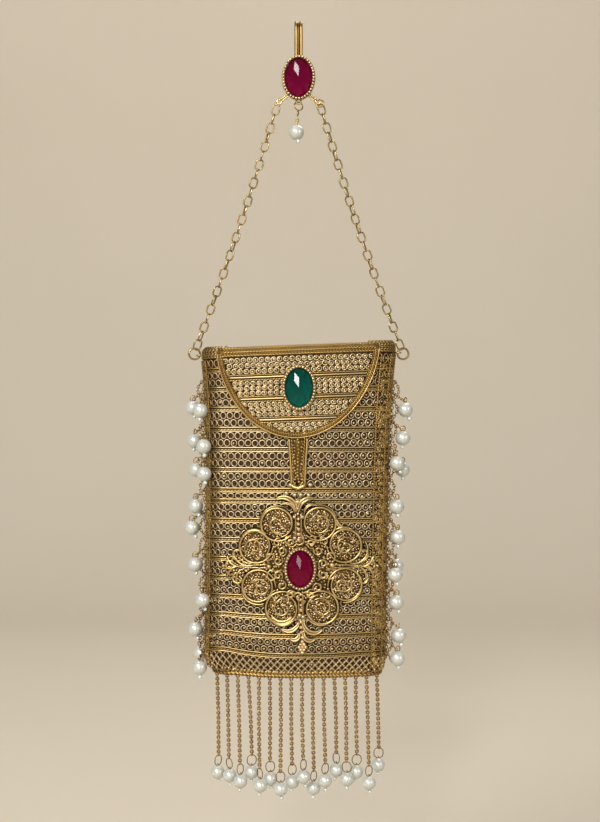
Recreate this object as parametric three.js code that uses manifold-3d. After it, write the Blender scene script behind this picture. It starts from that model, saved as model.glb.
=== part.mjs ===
// A jewelled waist pouch of gold wire lace. It hangs from a double-wire hook with a red stone, on two chains.
// A flap with a green stone folds over the mouth, a filigree plaque with a red stone sits on the front,
// pearls hang down both sides, and a fringe of fine chains with pearls hangs from the base.
// Millimetres, +Z up, front towards -Y. The origin is the inside of the hook's bend, where it hangs.

import * as THREE from "three";
import { mergeVertices } from "three/addons/utils/BufferGeometryUtils.js";
import Module from "manifold-3d";

const wasm = await Module();
wasm.setup();

// Clearance between neighbouring pieces
const GAP = 0.3;

// Body: a lace wall with a rounded oblong section, flared at the mouth and rounded in at the base
const MOUTH_BELOW_HOOK = 198;
const BODY = { height: 190.5, width: 107.4, depth: 36, corner: 13, frontBulge: 3, wall: 1.4 };
const FLARE = { width: 8.6, length: 35 };
const BASE_ROUND = { inset: 5, height: 8 };
const RIB = { height: 0.7, halfBand: 1.9 };
const RIB_GROUPS = [
  { first: 6.9, pitch: 12, count: 7 },
  { first: 85.4, pitch: 11.4, count: 9 },
];
const CORNER_STEPS = 3;

// Braided rims, and the lugs that the chain rings pass through
const MOUTH_RIM_RADIUS = 1.1;
const BASE_RIM_RADIUS = 1.8;
const LUG = { radius: 1.9, wire: 0.6 };
const CORNER_RING = { radius: 3.4, wire: 0.6 };

// Flap: a sheet that runs up the back, over the mouth and down the front to a half-oval edge
const FLAP = { halfWidth: 47.5, ovalDrop: 55, ovalTop: 5, sheet: 1.2, fold: 6, clear: 1.2, backSkirt: 7 };
const FLAP_TILT = THREE.MathUtils.degToRad(1.7);
const FLAP_EDGE_END = THREE.MathUtils.degToRad(86);
const FLAP_RIM = { width: 5, thick: 1.5, beyond: 1 };
const TONGUE = { top: 51.4, bottom: 81.3, topHalf: 6, bottomHalf: 4.1, sheet: 1.2, raised: 0.8 };

// Stones: girdle half-sizes, and shares of the girdle at each level in front of the seat
const STONES = {
  hook: { across: 8.3, up: 11.8, color: 0x8e0a3c },
  flap: { across: 8.3, up: 11.7, color: 0x006650 },
  plaque: { across: 7.8, up: 10.9, color: 0x8e0a3c },
};
const STONE_LEVELS = [
  { share: 0.86, front: 0 },
  { share: 1.0, front: 1.2 },
  { share: 0.84, front: 3.3 },
  { share: 0.55, front: 4.6 },
];
const STONE_SIDES = 12;
const BEZEL = { wall: 1.3, floor: 0.8, lip: 2.2, sides: 20 };
const FLAP_STONE = { across: 0.6, drop: 19.5 };

// Filigree plaque, measured from its own centre on the front
const PLAQUE = { drop: 127.7, height: 2.2 };
const STRIPS = {
  rosette: { base: 0, height: 2.2, width: 1.6 },
  curl: { base: 0.3, height: 1.8, width: 1.3 },
  stem: { base: 0.1, height: 2, width: 2.2 },
  arm: { base: 0.4, height: 1.9, width: 1.8 },
  eyelet: { base: 0.2, height: 1.7, width: 1.3 },
  bar: { base: 0.5, height: 1.6, width: 1.5 },
  frame: { base: 0, height: 2.4, width: 3 },
};
const ROSETTES = [
  { across: 12.5, up: 25.3, curlFrom: 250 },
  { across: 26, up: 11.7, curlFrom: 200 },
];
const ROSETTE = { radius: 9, sides: 12, curlSteps: 7, curlTurn: 330, curlEnd: 2.8 };
const OVAL_FRAME = { across: 10.5, up: 13.6, sides: 16 };
const EYELET = { across: 15.2, up: 14.6, radius: 3, sides: 6 };
const FLEURS = [
  { turn: 0, reach: 44.5, stemFrom: 14.5 },
  { turn: 90, reach: 47, stemFrom: 11.5 },
  { turn: 180, reach: 48, stemFrom: 14.5 },
  { turn: 270, reach: 47, stemFrom: 11.5 },
];
const FLEUR = { tipLength: 9, armReach: 9.5, armRise: 4.5, armSteps: 3, armBelow: 12.5 };
const FLEUR_TIP = [
  { share: 0, half: 1 },
  { share: 0.35, half: 3 },
  { share: 0.7, half: 2 },
  { share: 1, half: 0.4 },
];

// Hook: two wires bent over the back, the stone's setting, and the eyes for the chains and the drop
const HOOK = { wire: 1.05, spread: 1.45, insideBend: 3.2, frontLeg: 40, backLeg: 38, bendSteps: 6, sides: 8 };
const HOOK_STONE_DROP = 30.9;
const HOOK_EYE = { across: 12.2, drop: 44.8, radius: 2, wire: 0.6, armFrom: 5, armDrop: 39 };
const DROP_EYE = { drop: 44.9, radius: 1.3, wire: 0.55 };
const DROP_RING = { drop: 47.7, radius: 2.6, wire: 0.45 };

// Pearls, chains and fringe. The chains' fine links are left out: a plain tube keeps each chain's place.
const PEARL = { hook: 8.2, side: 8.2, fringe: 7.6, sides: 10, rings: 5 };
const HOOK_PEARL_DROP = 63.6;
const CHAIN = { radius: 2.2, sides: 8, steps: 6, sag: 1.5 };
const SIDE_CHAIN = { radius: 0.8, sides: 8, steps: 8, forward: 1, top: 17, bottom: 181 };
const SIDE_STEM = { radius: 0.45, sides: 5, rise: 7.5 };
const STRAND = { radius: 1.1, sides: 8 };
const FRINGE_SWAY = 2.4;

// Pearls down the sides: out from the middle, forward of the middle, and below the mouth
const LEFT_PEARLS = [
  { out: 64.1, forward: -1, drop: 31.3 },
  { out: 58.4, forward: 14, drop: 33 },
  { out: 63, forward: -1, drop: 51.4 },
  { out: 56.3, forward: 16, drop: 54.3 },
  { out: 62, forward: -1, drop: 68.9 },
  { out: 56.1, forward: 16, drop: 70.7 },
  { out: 62, forward: 4, drop: 90.5 },
  { out: 64.3, forward: 3, drop: 103.7 },
  { out: 62.2, forward: 4, drop: 125.7 },
  { out: 57.3, forward: 13, drop: 146.3 },
  { out: 62.2, forward: 4, drop: 164.7 },
  { out: 59.8, forward: -6, drop: 180.7 },
  { out: 59.2, forward: 10, drop: 187 },
];
const RIGHT_PEARLS = [
  { out: 64.3, forward: 4, drop: 32.5 },
  { out: 62.8, forward: 4, drop: 49.6 },
  { out: 59, forward: 11, drop: 64.4 },
  { out: 62.6, forward: 1, drop: 68.6 },
  { out: 58.8, forward: 10, drop: 90.5 },
  { out: 59.6, forward: 8, drop: 108.9 },
  { out: 59.2, forward: -6, drop: 127.1 },
  { out: 57.8, forward: 12, drop: 131.1 },
  { out: 58.6, forward: 10, drop: 147.7 },
  { out: 60.2, forward: 6, drop: 168.1 },
  { out: 59.4, forward: 8, drop: 181.6 },
];

// Fringe strands from left to right: place along the base, and the pearl's centre below the mouth
const STRANDS = [
  { across: -48.6, drop: 252 },
  { across: -41.2, drop: 253 },
  { across: -34.4, drop: 255.1 },
  { across: -28, drop: 250.5 },
  { across: -22.6, drop: 257.3 },
  { across: -16.6, drop: 254.1 },
  { across: -10.5, drop: 259.2 },
  { across: -3.5, drop: 255.7 },
  { across: 3.2, drop: 251.8 },
  { across: 9.1, drop: 259.5 },
  { across: 15.9, drop: 254.2 },
  { across: 22.6, drop: 249 },
  { across: 28.9, drop: 253.5 },
  { across: 34.7, drop: 250.3 },
  { across: 42.1, drop: 256.3 },
  { across: 48, drop: 248 },
];

const gold = new THREE.MeshStandardMaterial({ color: 0xb58a3c, roughness: 0.38, metalness: 1 });
const pearlWhite = new THREE.MeshStandardMaterial({ color: 0xf1eee6, roughness: 0.25, metalness: 0 });
const stoneOf = (color) => new THREE.MeshStandardMaterial({ color, roughness: 0.08, metalness: 0 });

// Shape tools

// A closed body through rings of points, each a closed loop of the same count.
// The ends are capped, or joined to each other where the rings go round in a loop.
function loft(rings, joined = false) {
  const count = rings[0].length;
  const points = rings.flat();
  const faces = [];
  rings.slice(joined ? 0 : 1).forEach((ring, index) => {
    const from = index * count;
    const to = ((index + 1) % rings.length) * count;
    for (let j = 0; j < count; j++) {
      const next = (j + 1) % count;
      faces.push([from + j, to + j, to + next], [from + j, to + next, from + next]);
    }
  });
  if (!joined) {
    const end = (rings.length - 1) * count;
    for (let low = 0, high = count - 1; low + 1 < high; low++, high--) {
      faces.push([low, low + 1, high], [end + high, end + low + 1, end + low]);
      if (low + 1 < high - 1) {
        faces.push([low + 1, high - 1, high], [end + high, end + high - 1, end + low + 1]);
      }
    }
  }
  return faceOut(points, faces);
}

// A geometry from points and triangles, turned so that its faces point outwards.
function faceOut(points, faces) {
  const volume = faces.reduce((sum, [a, b, c]) => sum + points[a].dot(points[b].clone().cross(points[c])), 0);
  const turned = volume < 0 ? faces.map(([a, b, c]) => [a, c, b]) : faces;
  return new THREE.BufferGeometry().setFromPoints(points).setIndex(turned.flat());
}

function solidOf(geometry) {
  const bare = geometry.index ? geometry.toNonIndexed() : geometry.clone();
  const shape = new THREE.BufferGeometry().setAttribute("position", bare.getAttribute("position"));
  const merged = mergeVertices(shape, 1e-4);
  const vertProperties = merged.attributes.position.array;
  const triVerts = new Uint32Array(merged.index.array);
  return new wasm.Manifold(new wasm.Mesh({ numProp: 3, vertProperties, triVerts }));
}

// One body from several that run into each other.
function fuse(geometries) {
  const mesh = geometries.map(solidOf).reduce((whole, next) => whole.add(next)).simplify(0.02).getMesh();
  return new THREE.BufferGeometry()
    .setAttribute("position", new THREE.BufferAttribute(new Float32Array(mesh.vertProperties), 3))
    .setIndex(new THREE.BufferAttribute(new Uint32Array(mesh.triVerts), 1));
}

// Index i on a path: round again on a closed one, held at the ends of an open one.
function nextIndex(i, count, closed) {
  return closed ? (i + count) % count : THREE.MathUtils.clamp(i, 0, count - 1);
}

// A round wire along a path, its rings square to the path and turned as little as possible.
function wire(path, radius, sides, closed = false) {
  const at = (i) => path[nextIndex(i, path.length, closed)];
  const along = path.map((_, i) => at(i + 1).clone().sub(at(i - 1)).normalize());
  const upright = Math.abs(along[0].z) > 0.8 ? new THREE.Vector3(0, 1, 0) : new THREE.Vector3(0, 0, 1);
  const rings = path.map((point, i) => {
    const side = upright.projectOnPlane(along[i]).normalize();
    const other = along[i].clone().cross(side);
    return Array.from({ length: sides }, (_, j) => {
      const angle = (2 * Math.PI * j) / sides;
      return point
        .clone()
        .addScaledVector(side, radius * Math.cos(angle))
        .addScaledVector(other, radius * Math.sin(angle));
    });
  });
  return loft(rings, closed);
}

// A plain tube along a curve, as long as the chain that lies there.
function tube(curve, radius, sides, steps) {
  const corners = Array.from({ length: sides }, (_, j) => {
    const angle = (2 * Math.PI * j) / sides;
    return new THREE.Vector2(radius * Math.cos(angle), radius * Math.sin(angle));
  });
  return new THREE.ExtrudeGeometry(new THREE.Shape(corners), { extrudePath: curve, steps });
}

// A wire ring: round X, round Y or flat.
function ring({ radius, wire: thick }, axis, centre) {
  const made = new THREE.TorusGeometry(radius, thick, 5, 10);
  if (axis === "x") made.rotateY(Math.PI / 2);
  if (axis === "y") made.rotateX(Math.PI / 2);
  return made.translate(centre.x, centre.y, centre.z);
}

function oval(across, up, y, sides) {
  return Array.from({ length: sides }, (_, j) => {
    const angle = (2 * Math.PI * j) / sides;
    return new THREE.Vector3(across * Math.cos(angle), y, up * Math.sin(angle));
  });
}

function piece(name, geometry, material, place = [0, 0, 0]) {
  const made = new THREE.Mesh(geometry, material);
  made.name = name;
  made.position.set(...place);
  return made;
}

function pearl(name, diameter, place) {
  const ball = new THREE.SphereGeometry(diameter / 2, PEARL.sides, PEARL.rings).rotateX(Math.PI / 2);
  return piece(name, ball, pearlWhite, place);
}

// Body

// Half-width and half-depth of the body at a drop below the mouth.
function halfSizes(drop) {
  const into = Math.max(0, (drop - BODY.height + BASE_ROUND.height) / BASE_ROUND.height);
  const inset = BASE_ROUND.inset * (1 - Math.sqrt(Math.max(0, 1 - into * into)));
  const flare = FLARE.width * Math.exp(-drop / FLARE.length);
  return { wide: (BODY.width + flare) / 2 - inset, deep: BODY.depth / 2 - inset };
}

// Front face of the body at a place across, corners included.
function frontY(x, drop) {
  const { wide, deep } = halfSizes(drop);
  const straight = wide - BODY.corner;
  const past = Math.abs(x) - straight;
  if (past <= 0) return -(deep + BODY.frontBulge * (1 - (x / straight) ** 2));
  return -(deep - BODY.corner + Math.sqrt(Math.max(0, BODY.corner ** 2 - past ** 2)));
}

// The rounded oblong loop at a drop below the mouth, moved outwards by grow.
function bodyLoop(drop, grow) {
  const { wide, deep } = halfSizes(drop);
  const radius = BODY.corner;
  const centres = [
    { x: wide - radius, y: -(deep - radius), from: -90 },
    { x: wide - radius, y: deep - radius, from: 0 },
    { x: -(wide - radius), y: deep - radius, from: 90 },
    { x: -(wide - radius), y: -(deep - radius), from: 180 },
  ];
  const loop = [];
  for (const { x, y, from } of centres) {
    for (let step = 0; step <= CORNER_STEPS; step++) {
      const angle = THREE.MathUtils.degToRad(from + (90 * step) / CORNER_STEPS);
      const out = radius + grow;
      loop.push(new THREE.Vector3(x + out * Math.cos(angle), y + out * Math.sin(angle), -drop));
    }
  }
  for (const share of [-0.5, 0, 0.5]) {
    const x = share * (wide - radius);
    loop.push(new THREE.Vector3(x, frontY(x, drop) - grow, -drop));
  }
  loop.push(loop.shift());
  return loop;
}

const ribDrops = RIB_GROUPS.flatMap(({ first, pitch, count }) =>
  Array.from({ length: count }, (_, i) => first + i * pitch),
);

function bodyShell() {
  const outside = [bodyLoop(0, 0)];
  for (const drop of ribDrops) {
    outside.push(bodyLoop(drop - RIB.halfBand, 0));
    outside.push(bodyLoop(drop, RIB.height));
    outside.push(bodyLoop(drop + RIB.halfBand, 0));
  }
  for (const share of [0, 0.6, 0.9, 1]) {
    outside.push(bodyLoop(BODY.height - BASE_ROUND.height * (1 - share), 0));
  }
  const innerDrops = [BODY.height - BODY.wall, BODY.height - BASE_ROUND.height, 100, 60, 30, 0];
  const inside = innerDrops.map((drop) => bodyLoop(drop, -BODY.wall));
  return loft([...outside.reverse(), ...inside.reverse()]);
}

function mouthRim() {
  const middle = bodyLoop(0, -BODY.wall / 2);
  middle.forEach((point) => point.setZ(GAP + MOUTH_RIM_RADIUS));
  const lugs = [-1, 1].map((side) => ring(LUG, "z", lugCentre(side)));
  return fuse([wire(middle, MOUTH_RIM_RADIUS, 6, true), ...lugs]);
}

function lugCentre(side) {
  const out = halfSizes(0).wide - BODY.wall / 2 + MOUTH_RIM_RADIUS + LUG.radius - LUG.wire;
  return new THREE.Vector3(side * out, 0, GAP + MOUTH_RIM_RADIUS);
}

// Each chain ring stands upright through its lug.
function cornerRingCentre(side) {
  return lugCentre(side).add(new THREE.Vector3(side * CORNER_RING.radius, 0, 0));
}

// Fringe: strands hang from the base rim's front half

const baseRimZ = -(BODY.height + GAP + BASE_RIM_RADIUS);

function baseRimY(x) {
  const { wide, deep } = halfSizes(BODY.height);
  const reach = Math.min(Math.abs(x), wide - GAP);
  const past = reach - (wide - BODY.corner);
  if (past <= 0) return frontY(x, BODY.height);
  return -(deep - BODY.corner + Math.sqrt(BODY.corner ** 2 - past ** 2));
}

const strandTop = ({ across }) => new THREE.Vector3(across, baseRimY(across), baseRimZ);

function strandPearl(row, index) {
  const sway = index % 2 ? FRINGE_SWAY : -FRINGE_SWAY;
  return new THREE.Vector3(row.across, baseRimY(row.across) + sway, -row.drop);
}

function chainFringe() {
  const rimPath = bodyLoop(BODY.height, 0);
  rimPath.forEach((point) => point.setZ(baseRimZ));
  const strands = STRANDS.map((row, index) => {
    const end = strandPearl(row, index).add(new THREE.Vector3(0, 0, PEARL.fringe / 2 + GAP));
    return tube(new THREE.LineCurve3(strandTop(row), end), STRAND.radius, STRAND.sides, 1);
  });
  return fuse([wire(rimPath, BASE_RIM_RADIUS, 6, true), ...strands]);
}

// Flap

const flapInside = BODY.depth / 2 + RIB.height + FLAP.clear;
const flapTopRun = 2 * (flapInside - FLAP.fold);
const foldRun = (FLAP.fold * Math.PI) / 2;

// A place on the flap: across, and along from the front fold's lower end (down the front is positive,
// back over the fold negative), lifted outwards from the flap's inner face.
function flapPoint(x, along, lift) {
  const out = FLAP.fold + lift;
  let y = -(flapInside + lift);
  let z = -along;
  let front = 1;
  if (along < 0 && along >= -foldRun) {
    const turn = -along / FLAP.fold;
    y = -(flapInside - FLAP.fold) - out * Math.cos(turn);
    z = out * Math.sin(turn);
  } else if (along < -foldRun) {
    const past = -along - foldRun;
    const turn = THREE.MathUtils.clamp((past - flapTopRun) / FLAP.fold, 0, Math.PI / 2);
    const skirt = Math.max(0, past - flapTopRun - foldRun);
    front = 1 - Math.min(1, past / flapTopRun);
    y = -(flapInside - FLAP.fold) + Math.min(past, flapTopRun) + out * Math.sin(turn);
    z = out * Math.cos(turn) - skirt;
  }
  const bulge = BODY.frontBulge * (1 - (x / FLAP.halfWidth) ** 2);
  return new THREE.Vector3(x, y - front * bulge, z + x * Math.tan(FLAP_TILT));
}

// Half the flap's width at a place along: full over the top, then a half oval.
function flapHalf(along) {
  const share = Math.max(0, (along + FLAP.ovalTop) / FLAP.ovalDrop);
  return FLAP.halfWidth * Math.sqrt(Math.max(0, 1 - share * share));
}

function flapSheet() {
  const back = -(2 * foldRun + flapTopRun);
  const rows = [back - FLAP.backSkirt];
  for (const share of [0, 1 / 3, 2 / 3, 1]) rows.push(back + share * foldRun);
  for (const share of [-1, -2 / 3, -1 / 3, 0]) rows.push(share * foldRun);
  const frontSteps = 9;
  for (let i = 1; i <= frontSteps; i++) {
    const start = Math.asin(FLAP.ovalTop / FLAP.ovalDrop);
    const angle = start + ((FLAP_EDGE_END - start) * i) / frontSteps;
    rows.push(FLAP.ovalDrop * Math.sin(angle) - FLAP.ovalTop);
  }
  const columns = [-1, -0.75, -0.5, -0.25, 0, 0.25, 0.5, 0.75, 1];
  const rings = rows.map((along) => {
    const half = flapHalf(along);
    const outer = columns.map((share) => flapPoint(share * half, along, FLAP.sheet));
    const inner = columns.map((share) => flapPoint(share * half, along, 0)).reverse();
    return [...outer, ...inner];
  });
  return loft(rings);
}

// The rim lies on the flap's margin, from the fold on one side round the tip to the fold on the other.
function flapRim() {
  const steps = 24;
  const lift = FLAP.sheet + GAP;
  const edge = (share) => {
    const start = Math.asin(FLAP.ovalTop / FLAP.ovalDrop);
    const angle = share * (Math.PI / 2 - start);
    return { x: FLAP.halfWidth * Math.sin(angle), along: FLAP.ovalDrop * Math.cos(angle) - FLAP.ovalTop };
  };
  const rings = Array.from({ length: steps + 1 }, (_, i) => {
    const { x, along } = edge(-1 + (2 * i) / steps);
    const steep = (along + FLAP.ovalTop) / FLAP.ovalDrop ** 2;
    const normal = new THREE.Vector2(x / FLAP.halfWidth ** 2, steep).normalize();
    const at = (out, up) => flapPoint(x + out * normal.x, along + out * normal.y, lift + up);
    const inner = FLAP_RIM.beyond - FLAP_RIM.width;
    const middle = FLAP_RIM.beyond - FLAP_RIM.width / 2;
    return [at(FLAP_RIM.beyond, 0), at(FLAP_RIM.beyond, 0.6 * FLAP_RIM.thick), at(middle, FLAP_RIM.thick),
      at(inner, 0.6 * FLAP_RIM.thick), at(inner, 0)];
  });
  return loft(rings);
}

// The tongue hangs below the flap's tip: a tapered strip with raised borders and a rounded end.
function flapTongue() {
  const half = (drop) => {
    const share = (drop - TONGUE.top) / (TONGUE.bottom - TONGUE.top);
    return THREE.MathUtils.lerp(TONGUE.topHalf, TONGUE.bottomHalf, share);
  };
  const roundFrom = TONGUE.bottom - TONGUE.bottomHalf;
  const drops = [TONGUE.top, 62, 72, roundFrom];
  const row = (drop, wide) => {
    const places = [
      [-wide, 0], [-wide, TONGUE.raised], [-0.6 * wide, TONGUE.raised], [-0.5 * wide, 0],
      [0.5 * wide, 0], [0.6 * wide, TONGUE.raised], [wide, TONGUE.raised], [wide, 0],
    ];
    const outer = places.map(([x, up]) => flapPoint(x, drop, TONGUE.sheet + up));
    const inner = places.map(([x]) => flapPoint(x, drop, 0)).reverse();
    return [...outer, ...inner];
  };
  const rings = drops.map((drop) => row(drop, half(drop)));
  for (const turn of [30, 60, 80]) {
    const angle = THREE.MathUtils.degToRad(turn);
    rings.push(row(roundFrom + half(roundFrom) * Math.sin(angle), half(roundFrom) * Math.cos(angle)));
  }
  return loft(rings);
}

// Settings and stones. Local frame: the seat is y = 0 and the stone faces -Y.

function stone({ across, up }) {
  return loft(STONE_LEVELS.map(({ share, front }) => oval(share * across, share * up, -front, STONE_SIDES)));
}

function bezel({ across, up }) {
  const inner = [across + GAP, up + GAP];
  const outer = [across + GAP + BEZEL.wall, up + GAP + BEZEL.wall];
  const floorY = -BEZEL.floor;
  const lipY = -(BEZEL.floor + BEZEL.lip);
  return loft([
    oval(...outer, 0, BEZEL.sides),
    oval(...outer, 0.8 * lipY, BEZEL.sides),
    oval(...inner, lipY, BEZEL.sides),
    oval(...inner, floorY, BEZEL.sides),
  ]);
}

const stoneSeat = -(BEZEL.floor + GAP);

// Filigree plaque. Places are across and up from its centre, lifted off the front and following its curve.

function plaquePoint(across, up, lift) {
  return new THREE.Vector3(across, frontY(across, PLAQUE.drop) - (RIB.height + GAP + lift), up - PLAQUE.drop);
}

// A flat strip along a path on the plaque, narrower at its top.
// The base lifts a strip off the strips it crosses.
function strip(path, { base, height, width }, closed = false) {
  const at = (i) => path[nextIndex(i, path.length, closed)];
  const rings = path.map((point, i) => {
    const along = at(i + 1).clone().sub(at(i - 1)).normalize();
    const place = (out, lift) => plaquePoint(point.x - out * along.y, point.y + out * along.x, lift);
    const foot = width / 2;
    const brow = width / 3;
    return [place(-foot, base), place(-brow, height), place(brow, height), place(foot, base)];
  });
  return loft(rings, closed);
}

function ovalPath(centre, across, up, sides) {
  return Array.from({ length: sides }, (_, j) => {
    const angle = (2 * Math.PI * j) / sides;
    return new THREE.Vector2(centre.x + across * Math.cos(angle), centre.y + up * Math.sin(angle));
  });
}

// A rosette is a ring with a curl that winds in from its edge.
function rosette({ across, up, curlFrom }, mirrorX, mirrorY) {
  const centre = new THREE.Vector2(across * mirrorX, up * mirrorY);
  const curl = Array.from({ length: ROSETTE.curlSteps + 1 }, (_, i) => {
    const share = i / ROSETTE.curlSteps;
    const angle = THREE.MathUtils.degToRad(curlFrom + ROSETTE.curlTurn * share);
    const radius = THREE.MathUtils.lerp(ROSETTE.radius, ROSETTE.curlEnd, share);
    const x = mirrorX * radius * Math.cos(angle);
    const y = mirrorY * radius * Math.sin(angle);
    return new THREE.Vector2(x, y).add(centre);
  });
  return [
    strip(ovalPath(centre, ROSETTE.radius, ROSETTE.radius, ROSETTE.sides), STRIPS.rosette, true),
    strip(curl, STRIPS.curl),
  ];
}

// A fleur is a stem, a lozenge tip and two curved arms, turned towards one point of the plaque.
function fleur({ turn, reach, stemFrom }) {
  const angle = THREE.MathUtils.degToRad(turn);
  const facing = (x, y) => new THREE.Vector2(x, y).rotateAround(new THREE.Vector2(), -angle);
  const tipFrom = reach - FLEUR.tipLength;
  const arm = (side) =>
    Array.from({ length: FLEUR.armSteps + 1 }, (_, i) => {
      const bend = (Math.PI / 2) * (i / FLEUR.armSteps);
      const across = side * FLEUR.armReach * Math.sin(bend);
      return facing(across, reach - FLEUR.armBelow + FLEUR.armRise * (1 - Math.cos(bend)));
    });
  const tipRings = FLEUR_TIP.map(({ share, half }) =>
    [[-half, 0], [-0.5 * half, PLAQUE.height], [0.5 * half, PLAQUE.height], [half, 0]].map(([x, lift]) => {
      const place = facing(x, tipFrom + share * FLEUR.tipLength);
      return plaquePoint(place.x, place.y, lift);
    }),
  );
  return [
    strip([facing(0, stemFrom), facing(0, (stemFrom + tipFrom) / 2), facing(0, tipFrom + 1)], STRIPS.stem),
    strip(arm(-1), STRIPS.arm),
    strip(arm(1), STRIPS.arm),
    loft(tipRings),
  ];
}

function plaque() {
  const parts = FLEURS.flatMap(fleur);
  for (const mirrorX of [-1, 1]) {
    for (const mirrorY of [-1, 1]) {
      for (const row of ROSETTES) parts.push(...rosette(row, mirrorX, mirrorY));
      const eyelet = new THREE.Vector2(mirrorX * EYELET.across, mirrorY * EYELET.up);
      parts.push(strip(ovalPath(eyelet, EYELET.radius, EYELET.radius, EYELET.sides), STRIPS.eyelet, true));
      const inward = new THREE.Vector2(mirrorX * OVAL_FRAME.across, mirrorY * OVAL_FRAME.up);
      inward.multiplyScalar(0.7);
      const outward = eyelet.clone().multiplyScalar(1 - EYELET.radius / eyelet.length());
      parts.push(strip([inward, outward], STRIPS.bar));
    }
  }
  const frame = ovalPath(new THREE.Vector2(), OVAL_FRAME.across, OVAL_FRAME.up, OVAL_FRAME.sides);
  parts.push(strip(frame, STRIPS.frame, true));
  const seat = plaquePoint(0, 0, 0.4);
  parts.push(bezel(STONES.plaque).translate(seat.x, seat.y, seat.z));
  return fuse(parts);
}

// Hook: each wire rises behind the setting, bends over and comes down at the back

const hookWireY = HOOK.insideBend + HOOK.wire;

function hookWire(x) {
  const path = [new THREE.Vector3(x, -hookWireY, -HOOK.frontLeg)];
  for (let i = 0; i <= HOOK.bendSteps; i++) {
    const turn = (Math.PI * i) / HOOK.bendSteps;
    const y = -hookWireY * Math.cos(turn);
    path.push(new THREE.Vector3(x, y, -HOOK.insideBend + hookWireY * Math.sin(turn)));
  }
  path.push(new THREE.Vector3(x, hookWireY, -HOOK.backLeg));
  return wire(path, HOOK.wire, HOOK.sides);
}

const hookFace = -(hookWireY + 0.4 * HOOK.wire);
const hookEye = (side) => new THREE.Vector3(side * HOOK_EYE.across, hookFace, -HOOK_EYE.drop);

function waistHook() {
  const setting = bezel(STONES.hook).translate(0, hookFace, -HOOK_STONE_DROP);
  const tie = (z, y) => {
    const ends = [-HOOK.spread - 0.2, HOOK.spread + 0.2].map((x) => new THREE.Vector3(x, y, z));
    return wire(ends, 0.9 * HOOK.wire, HOOK.sides);
  };
  const arms = [-1, 1].flatMap((side) => {
    const from = new THREE.Vector3(side * HOOK_EYE.armFrom, hookFace, -HOOK_EYE.armDrop);
    const inward = from.clone().sub(hookEye(side)).setLength(HOOK_EYE.radius);
    const to = hookEye(side).add(inward);
    return [wire([from, to], 0.9, 6), ring(HOOK_EYE, "y", hookEye(side))];
  });
  const dropEye = ring(DROP_EYE, "x", new THREE.Vector3(0, hookFace, -DROP_EYE.drop));
  return fuse([
    hookWire(-HOOK.spread),
    hookWire(HOOK.spread),
    setting,
    tie(-HOOK.backLeg + HOOK.wire, hookWireY),
    tie(-HOOK.insideBend - 2 * HOOK.wire, -hookWireY),
    ...arms,
    dropEye,
  ]);
}

function hookDrop() {
  const ringCentre = new THREE.Vector3(0, hookFace, -DROP_RING.drop);
  const pinTop = ringCentre.clone().setZ(-(DROP_RING.drop + DROP_RING.radius));
  const pinEnd = ringCentre.clone().setZ(-(HOOK_PEARL_DROP - PEARL.hook / 2 - GAP));
  return fuse([ring(DROP_RING, "y", ringCentre), wire([pinTop, pinEnd], DROP_RING.wire, 6)]);
}

// Chains

// A main chain runs from its hook eye to its corner ring with a slight sag.
function mainChain(side) {
  const from = hookEye(side);
  const to = cornerRingCentre(side).add(new THREE.Vector3(0, 0, -MOUTH_BELOW_HOOK));
  const along = to.clone().sub(from).normalize();
  const start = from.clone().addScaledVector(along, HOOK_EYE.radius + HOOK_EYE.wire + GAP);
  const end = to.clone().addScaledVector(along, -(CORNER_RING.radius + CORNER_RING.wire + GAP));
  const middle = start.clone().lerp(end, 0.5);
  middle.x -= side * CHAIN.sag;
  return tube(new THREE.QuadraticBezierCurve3(start, middle, end), CHAIN.radius, CHAIN.sides, CHAIN.steps);
}

function sideChainX(drop) {
  return halfSizes(drop).wide + RIB.height + GAP + SIDE_CHAIN.radius;
}

// A side chain runs down the wall, with a stem from it to the top of each pearl.
function sideChain(side, rows) {
  const at = (drop) => new THREE.Vector3(side * sideChainX(drop), -SIDE_CHAIN.forward, -drop);
  const drops = [SIDE_CHAIN.top, 40, 70, 110, 150, SIDE_CHAIN.bottom];
  const line = new THREE.CatmullRomCurve3(drops.map(at));
  const run = tube(line, SIDE_CHAIN.radius, SIDE_CHAIN.sides, SIDE_CHAIN.steps);
  const stems = rows.map((row) => {
    const top = sidePearl(side, row).add(new THREE.Vector3(0, 0, PEARL.side / 2 + GAP));
    return wire([at(row.drop - SIDE_STEM.rise), top], SIDE_STEM.radius, SIDE_STEM.sides);
  });
  return fuse([run, ...stems]);
}

function sidePearl(side, { out, forward, drop }) {
  return new THREE.Vector3(side * out, -forward, -drop);
}

// Assembly: the hook and chains hang from the origin, and the bag's own frame is at its mouth

const numbered = (stem, index) => stem + "_" + String(index + 1).padStart(2, "0");

const hookStonePlace = [0, hookFace + stoneSeat, -HOOK_STONE_DROP];
const hanger = new THREE.Group();
hanger.add(
  piece("waist_hook", waistHook(), gold),
  piece("hook_ruby", stone(STONES.hook), stoneOf(STONES.hook.color), hookStonePlace),
  piece("hook_drop", hookDrop(), gold),
  pearl("hook_pearl", PEARL.hook, [0, hookFace, -HOOK_PEARL_DROP]),
  piece("chain_left", mainChain(-1), gold),
  piece("chain_right", mainChain(1), gold),
);

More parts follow.
